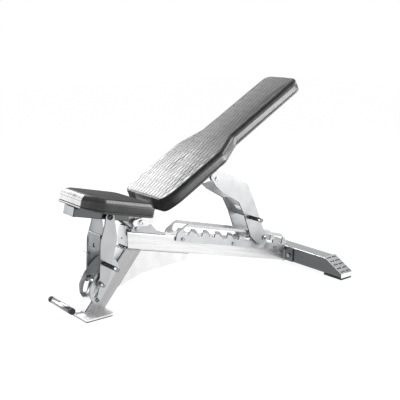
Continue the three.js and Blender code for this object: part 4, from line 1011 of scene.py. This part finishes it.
class BENCH_OT_stage(bpy.types.Operator):
    """Makes the floor, the white surround, the soft boxes and the camera"""

    bl_idname = "bench.stage"
    bl_label = "Studio"

    def execute(self, context):
        studio = context.scene.bench_studio
        context.scene.view_settings.view_transform = "Standard"
        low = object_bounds()[0].z
        floor = new_piece("floor", [(-9, -9, low), (9, -9, low), (9, 9, low), (-9, 9, low)], [(0, 1, 2, 3)])
        floor.data.materials.append(self.paper(studio))
        floor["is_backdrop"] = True
        self.surround(context, studio)
        for name, place, target, size, level in (
            ("back_box", (-0.19, 1.90, 1.92), (-0.22, 0, 0.50), (1.15, 1.1), studio.back_lamp),
            ("head_box", (1.05, 2.05, 2.35), (0.30, 0, 0.70), (1.3, 1.1), studio.head_lamp),
            ("side_box", (2.70, -2.75, 0.40), (0.40, 0, 0.60), (1.5, 0.72), studio.side_lamp),
            ("over_box", (1.52, -0.36, 2.10), (-0.40, -0.14, 0.45), (2.0, 1.5), studio.over_lamp),
            ("waist_box", (3.20, -1.15, 0.30), (0.25, -0.10, 0.60), (1.3, 0.56), studio.waist_lamp),
            ("left_box", (-1.45, 1.90, 0.88), (-0.50, 0, 0.60), (1.5, 1.6), studio.left_lamp),
        ):
            lamp = bpy.data.lights.new(name, "AREA")
            lamp.shape = "RECTANGLE"
            lamp.size, lamp.size_y = size
            # an area lamp's radiance is its power over four times its area
            lamp.energy = 4 * size[0] * size[1] * level
            box = bpy.data.objects.new(name, lamp)
            box.location = place
            box.rotation_euler = (Vector(target) - Vector(place)).to_track_quat("-Z", "Y").to_euler()
            box.visible_camera = False
            context.scene.collection.objects.link(box)
        camera = bpy.data.cameras.new("camera")
        camera.sensor_width = 36
        camera.lens = studio.lens
        camera.clip_end = 60
        viewer = bpy.data.objects.new("camera", camera)
        viewer.location = studio.camera
        viewer.rotation_euler = studio.camera_turn
        context.scene.collection.objects.link(viewer)
        context.scene.camera = viewer
        return {"FINISHED"}

    @staticmethod
    def seen_directly(tree):
        """One for camera, glossy and transmission rays, and nothing for the light on the object."""
        path = add_node(tree, "ShaderNodeLightPath")
        first = add_node(tree, "ShaderNodeMath", {
            0: path.outputs["Is Camera Ray"], 1: path.outputs["Is Glossy Ray"]}, operation="MAXIMUM")
        return add_node(tree, "ShaderNodeMath", {
            0: first, 1: path.outputs["Is Transmission Ray"]}, operation="MAXIMUM")

    def paper(self, studio):
        """Seamless white paper: matt, and bright enough to end up white with a faint shadow."""
        made, shader = surface("studio_paper_white", roughness=0.9, specular_ior_level=0.1)
        tree = made.node_tree
        feed(shader, {"Base Color": (*studio.floor, 1)})
        raised(shader, pattern(shader, (4 * MM, 4 * MM, 4 * MM), detail=3.0), 0.1 * MM, 0.1)
        # the glow makes up for what the lit paper lacks, so that both together are white
        level = (1 - studio.shadow * studio.paper_level) / (1 - studio.shadow)
        glow = add_node(tree, "ShaderNodeEmission", {"Color": (1, 1, 1, 1), "Strength": level})
        part = add_node(tree, "ShaderNodeMath", {
            0: self.seen_directly(tree), 1: 1 - studio.shadow}, operation="MULTIPLY")
        both = add_node(tree, "ShaderNodeMixShader", {0: part, 1: shader, 2: glow})
        feed(tree.nodes["Material Output"], {"Surface": both})
        return made

    def surround(self, context, studio):
        """White to the eye, dim at the horizon and overhead in reflections, and plain light for the rest."""
        world = bpy.data.worlds.new("surround")
        world.use_nodes = True
        tree = world.node_tree
        path = add_node(tree, "ShaderNodeLightPath")
        way = add_node(tree, "ShaderNodeTexCoord")
        height = add_node(tree, "ShaderNodeSeparateXYZ", {0: way.outputs["Generated"]})
        low = add_node(tree, "ShaderNodeMapRange", {
            "Value": height.outputs["Z"], "From Min": 0.02, "From Max": 0.12,
            "To Min": studio.horizon, "To Max": 1.0}, interpolation_type="SMOOTHSTEP")
        room = add_node(tree, "ShaderNodeMapRange", {
            "Value": height.outputs["Z"], "From Min": 0.28, "From Max": 0.6,
            "To Min": low, "To Max": studio.ceiling}, interpolation_type="SMOOTHSTEP")
        mirrored = add_node(tree, "ShaderNodeMapRange", {
            "Value": self.seen_directly(tree), "To Min": studio.surround, "To Max": room})
        level = add_node(tree, "ShaderNodeMapRange", {
            "Value": path.outputs["Is Camera Ray"], "To Min": mirrored, "To Max": 1.0})
        feed(tree.nodes["Background"], {"Color": (1, 1, 1, 1), "Strength": level})
        context.scene.world = world


class BENCH_OT_steelwork(bpy.types.Operator):
    """Breaks the edges of tubes and plates and brushes or grinds their faces"""

    bl_idname = "bench.steelwork"
    bl_label = "Tubes and plates"

    FINISHED = {
        "beam": ("main_beam",),
        "leg": ("front_leg",),
        "foot": ("rear_foot",),
        "plug": ("seat_carrier_cap",),
        "carrier": ("seat_carrier", "rear_flange"),
        "base": ("front_foot_plate",),
        "strut": ("strut_near", "strut_far"),
        # the strut web is all in the darker plate: painted shade between the struts
        "web": ("strut_web",),
        "arm": ("support_arm_near", "support_arm_far", "arm_web", "pivot_bracket",
                "back_rail_far", "back_cross_bar_lower", "back_cross_bar_upper", "seat_hinge_near",
                "seat_hinge_far"),
        "plate": ("leg_gusset_near", "leg_gusset_far", "handle_strap", "back_rail_near",
                  "rear_foot_tread_near", "rear_foot_tread_far", "slot_plate_far"),
        "rack": ("rack_near", "rack_far", "slot_plate_near", "beam_end_cap"),
    }
    FLAT_PLATES = ("rack_near", "rack_far", "slot_plate_near", "slot_plate_far", "strut_near", "strut_far",
                   "support_arm_near", "support_arm_far", "leg_gusset_near", "leg_gusset_far",
                   "seat_hinge_near", "seat_hinge_far")

    def execute(self, context):
        edge = context.scene.bench_sizes.edge
        for name, nodes in self.FINISHED.items():
            for node in nodes:
                piece = paint(softened(node, edge), name)
                if node in self.FLAT_PLATES:
                    edged(piece, "cut", lambda face: abs(face.normal.y) < 0.8)
                elif node.startswith("rear_foot_tread"):
                    # the treads' upward faces take the darker plate: painted shade
                    edged(piece, "web", lambda face: face.normal.z > 0.5)
                    # the tread's raised ribs take the darker cut-edge colour
                    edged(piece, "cut", above_largest(piece, 0.3 * MM))
                elif node == "front_leg":
                    # the leg's front faces take the darker plate: painted shade
                    edged(piece, "web", lambda face: face.normal.x < -0.5)
                elif node == "rear_foot":
                    # faces of the rear foot that look up take the lighter tone: a painted highlight
                    edged(piece, "foot_top", lambda face: face.normal.z > 0.5)
                settle(piece, node, node)
        return {"FINISHED"}


class BENCH_OT_rubber(bpy.types.Operator):
    """Moulds the rubber sheet and blocks under the feet"""

    bl_idname = "bench.rubber"
    bl_label = "Rubber feet"

    def execute(self, context):
        for node in ("front_foot_rubber", "rear_foot_rubber_near", "rear_foot_rubber_far"):
            piece = softened(node, context.scene.bench_sizes.rubber_edge)
            settle(paint(piece, "rubber"), node, node)
        return {"FINISHED"}


class BENCH_OT_fasteners(bpy.types.Operator):
    """Forms the bolts and screws"""

    bl_idname = "bench.fasteners"
    bl_label = "Bolts and screws"

    def execute(self, context):
        hexed, button = hex_head(), button_head()
        across, fore = (0, 1, 0), (1, 0, 0)
        upright = slope_turn(SEAT_SLOPE) @ Vector((0, 0, 1))
        for node in ("rack_bolt_front", "rack_bolt_middle", "rack_bolt_rear", "seat_pivot_bolt"):
            bolt(node, across, hexed, "zinc")
        for node in ("flange_bolt_near", "flange_bolt_far"):
            bolt(node, fore, hexed, "zinc")
        for node in ("seat_screw_front", "seat_screw_rear"):
            bolt(node, upright, hexed, "zinc")
        for node in ("back_pivot_bolt", "arm_pivot_bolt_near", "arm_pivot_bolt_far"):
            bolt(node, across, button, "bright")
        bolt("strut_bolt", across, button, "black")
        bolt("slot_plate_bolt", across, button, "chrome")
        discard(hexed, button)
        return {"FINISHED"}


class BENCH_OT_pins(bpy.types.Operator):
    """Turns the chromed pins and spacers"""

    bl_idname = "bench.pins"
    bl_label = "Pins and spacers"

    def execute(self, context):
        strut = [(0, 0.58), (1.4, 0.727), (8, 0.727), (8.4, 0.62), (10, 0.62), (10.4, 0.727), (22.5, 0.727),
                 (22.7, 0.96), (23.2, 1.0), (26.2, 1.0), (26.7, 0.96), (26.7, 0.727)]
        turned_bar("strut_pin", "_turned", both_ways(strut), "pin")
        lock = [(0, 0.8), (1.2, 1.0), (6.2, 1.0), (6.7, 0.95), (6.7, 0.6)]
        turned_bar("lock_pin", "_turned", both_ways(lock), "pin")
        stub = [(0, 1.0), (24, 1.0), (24.5, 0.8), (26, 0.8), (26.5, 1.0), (-1.2, 1.0), (0, 0.7)]
        turned_bar("strut_stub", "_turned", stub, "chrome", 24)
        for node in ("back_pivot_sleeve_near", "back_pivot_sleeve_far"):
            turned_bar(node, "_turned", both_ways([(0, 0.95), (0.6, 1.0)]), "chrome")
        return {"FINISHED"}


class BENCH_OT_handle(bpy.types.Operator):
    """Turns the transport handle and its rubber ends"""

    bl_idname = "bench.handle"
    bl_label = "Transport handle"

    def execute(self, context):
        turned_bar("transport_handle", "_turned", both_ways([(0, 0.96), (0.7, 1.0)]), "chrome", 48)
        # a plug inside the tube, then the head that closes it
        cap = [(0, 0.6), (-16, 0.6), (-16, 0.98), (-15.2, 1.03), (-13.6, 1.03), (-13, 0.97), (-4.5, 0.99),
               (-2, 0.94), (-0.7, 0.82), (0, 0.6)]
        for node in ("handle_cap_near", "handle_cap_far"):
            turned_bar(node, "_moulded", cap, "rubber")
        return {"FINISHED"}


class BENCH_OT_grips(bpy.types.Operator):
    """Makes the ribbed sleeves and bright tips of the two adjusting grips"""

    bl_idname = "bench.grips"
    bl_label = "Adjusting grips"

    def execute(self, context):
        sizes = context.scene.bench_sizes
        for name in ("seat_grip", "arm_grip"):
            tip = [(0, 0.526), (-14.2, 0.526), (-14, 0.95), (-13.4, 1.0), (-9.5, 1.0), (-9.1, 0.88),
                   (-8.2, 0.88), (-7.8, 1.0), (-1.4, 1.0), (0, 0.86)]
            turned_bar(name + "_rod", "_turned", tip, "pin")
            start, end, radius = cross_ends(name + "_sleeve")
            core = both_ways([(0, 0.94), (0.5, 1.0), (2.4, 1.0), (3, 0.86)])
            sleeve = turned_bar(name + "_sleeve", "_ribbed", core, "rubber")
            way = (end - start).normalized()
            first, last = start + way * 6 * MM, end - way * 6 * MM
            count = int((last - first).length / sizes.rib_pitch) + 1
            grown(sleeve, ribs_on_core, start=tuple(first), end=tuple(last), radius=radius * 0.86,
                  rib=sizes.rib, count=count, material=finish("rubber"))
            sleeve.data.set_sharp_from_angle(angle=math.radians(50))
        return {"FINISHED"}


class BENCH_OT_welds(bpy.types.Operator):
    """Lays rippled weld beads where the frame's tubes meet"""

    bl_idname = "bench.welds"
    bl_label = "Welds"

    def execute(self, context):
        sizes = context.scene.bench_sizes
        ball = bead()
        seams = (
            ("weld_leg_foot", "front_leg", Vector((0, 0, -1))),
            ("weld_leg_beam", "front_leg", Vector((math.sin(BEAM_SLOPE), 0, math.cos(BEAM_SLOPE)))),
            ("weld_beam_flange", "main_beam", Vector((1, 0, 0))),
        )
        for name, node, way in seams:
            size = (sizes.weld * 0.6, sizes.weld, sizes.weld)
            seam = chain(name, self.outer_edge(node, way), ball, size, sizes.weld_pitch, "strut")
            settle(seam, node)
        discard(ball)
        return {"FINISHED"}

    @staticmethod
    def outer_edge(node, way):
        """The outline of a tube's end face that looks along a direction."""
        verts = merged(node)[0]
        far = max(v.dot(way) for v in verts)
        face = [v for v in verts if v.dot(way) > far - 0.2 * MM]
        turn = way.to_track_quat("Z", "Y").to_matrix()
        flat = [(turn.inverted() @ v).to_2d() for v in face]
        return [face[i] for i in convex_hull_2d(flat)]


def sew(piece, node, placed, rings):
    """Stitches along the hem of a pad."""
    sizes = bpy.context.scene.bench_sizes
    ring, ball = rings[HEM_RING], bead()
    path = placed[ring] + normals_of(piece)[ring] * 0.25 * MM
    size = (sizes.stitch / 2, sizes.thread / 2, sizes.thread / 2)
    row = chain(node + "_hem_stitches", path, ball, size, sizes.stitch_pitch, "thread")
    discard(ball)
    return settle(row, node, slot="vinyl")


def top_sheet(shape):
    """Along and across positions on a pad's top, with their distances from its sides and its ends."""
    s, y = shape.sheet(shape.inset + shape.edge)
    side = (1 - np.abs(shape.v))[None, :] * np.abs(y[:, -1:])
    return s, y, side, np.minimum(s - s.min(), s.max() - s)


class BENCH_OT_seat_pad(bpy.types.Operator):
    """Cuts, fills, presses and sews the seat pad"""

    bl_idname = "bench.seat_pad"
    bl_label = "Seat pad"

    def execute(self, context):
        sizes = context.scene.bench_sizes
        piece, placed, rings = upholstered("seat_pad", SEAT_SLOPE, (130, 2.2 * MM), sizes.seat_edge, BEVELLED,
                                           sizes.seat_ease, self.press, self.gloss)
        sew(piece, "seat_pad", placed, rings)
        return {"FINISHED"}

    @staticmethod
    def gloss(shape, verts):
        """Worn dull where people sit, bright over the front end and the rounded edges."""
        below = shape.top - verts[:, 2]
        front = np.clip(1 - (verts[:, 0] - shape.s0 - 4 * MM) / (30 * MM), 0, 1)
        rounded = np.clip(below / (3 * MM), 0, 1) * np.clip((19 * MM - below) / (3 * MM), 0, 1)
        side = np.clip((below - 3 * MM) / (8 * MM), 0, 1)
        return np.maximum(np.maximum(0.65 * front, 0.6 * rounded), 0.3 * side)

    @staticmethod
    def press(shape, verts, rings):
        """Slanting strokes over the upper edge, less deep than a seam."""
        s, y, side, end = top_sheet(shape)
        height = np.zeros(len(verts))
        height[:s.size] = strokes(s.ravel(), y.ravel(), -np.minimum(side, end).ravel(),
                                  (end < side).ravel())
        rim_end = (np.abs(np.tile(shape.v, len(shape.s))) < 1)[rings[0]]
        for ring in rings[1:]:
            below = shape.top - shape.inset - verts[ring][:, 2]
            height[ring] = strokes(verts[ring][:, 0], verts[ring][:, 1], below, rim_end)
        return 0.5 * height


class BENCH_OT_back_pad(bpy.types.Operator):
    """Cuts, fills, presses and sews the pad of the backrest"""

    bl_idname = "bench.back_pad"
    bl_label = "Backrest pad"

    def execute(self, context):
        sizes = context.scene.bench_sizes
        piece, placed, rings = upholstered("back_pad", BACK_SLOPE, (260, 4.6 * MM), sizes.back_edge, ROUNDED,
                                           sizes.back_ease, self.press, self.gloss, sizes.head_ease, 9 * MM)
        row = sew(piece, "back_pad", placed, rings)
        # the pad and its stitches each get a mesh of their own
        for soft in (piece, row):
            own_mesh(soft)
        return {"FINISHED"}

    @staticmethod
    def gloss(shape, verts):
        """Lacquered on top inside a dull border, bright on the sides except near the hip end."""
        below = shape.top - verts[:, 2]
        margin = np.interp(verts[:, 0], shape.s, shape.w) - np.abs(verts[:, 1])
        border = np.where(verts[:, 1] < 0, 9 * MM, 3 * MM)
        top = 0.4 * np.clip((margin - border) / (5 * MM), 0, 1)
        side = np.clip((below - 8 * MM) / (4 * MM), 0, 1)
        return np.maximum(top, side * np.clip((verts[:, 0] - shape.s0 - 30 * MM) / (90 * MM), 0, 1))

    @staticmethod
    def press(shape, verts, rings):
        """Long diamonds over the whole top inside a plain border."""
        sizes = bpy.context.scene.bench_sizes
        s, y, side, end = top_sheet(shape)
        # the diamonds run out over the hip end, and stop at the border everywhere else
        end = np.where(s < s.mean(), FADE, end)
        height = np.zeros(len(verts))
        inside = np.minimum(side - sizes.border + shape.edge, end)
        height[:s.size] = diamonds(s.ravel(), y.ravel(), inside.ravel())
        for ring in rings[1:4]:
            at_hip = verts[ring][:, 0] < shape.s0 + shape.edge
            height[ring] = diamonds(verts[ring][:, 0], verts[ring][:, 1], FADE * at_hip)
        return height


OPERATORS = (
    BENCH_OT_stage, BENCH_OT_steelwork, BENCH_OT_rubber, BENCH_OT_fasteners, BENCH_OT_pins,
    BENCH_OT_handle, BENCH_OT_grips, BENCH_OT_welds, BENCH_OT_seat_pad, BENCH_OT_back_pad,
)


class BENCH_PT_parts(bpy.types.Panel):
    """Lists the bench's operators and its settings"""

    bl_idname = "BENCH_PT_parts"
    bl_label = "Weight bench"
    bl_space_type = "VIEW_3D"
    bl_region_type = "UI"
    bl_category = "Bench"

    def draw(self, context):
        for operator in OPERATORS:
            self.layout.operator(operator.bl_idname)
        for group in (context.scene.bench_sizes, context.scene.bench_colours, context.scene.bench_studio):
            for name in group.bl_rna.properties.keys():
                if name not in ("name", "rna_type"):
                    self.layout.prop(group, name)


GROUPS = {"bench_sizes": BenchSizes, "bench_colours": BenchColours, "bench_studio": BenchStudio}
CLASSES = (*GROUPS.values(), *OPERATORS, BENCH_PT_parts)


def register():
    for cls in CLASSES:
        bpy.utils.register_class(cls)
    for name, group in GROUPS.items():
        setattr(bpy.types.Scene, name, PointerProperty(type=group))


def unregister():
    for name in GROUPS:
        delattr(bpy.types.Scene, name)
    for cls in reversed(CLASSES):
        bpy.utils.unregister_class(cls)


def main():
    register()
    for operator in OPERATORS:
        section, name = operator.bl_idname.split(".")
        getattr(getattr(bpy.ops, section), name)()


if __name__ == "__main__":
    main()
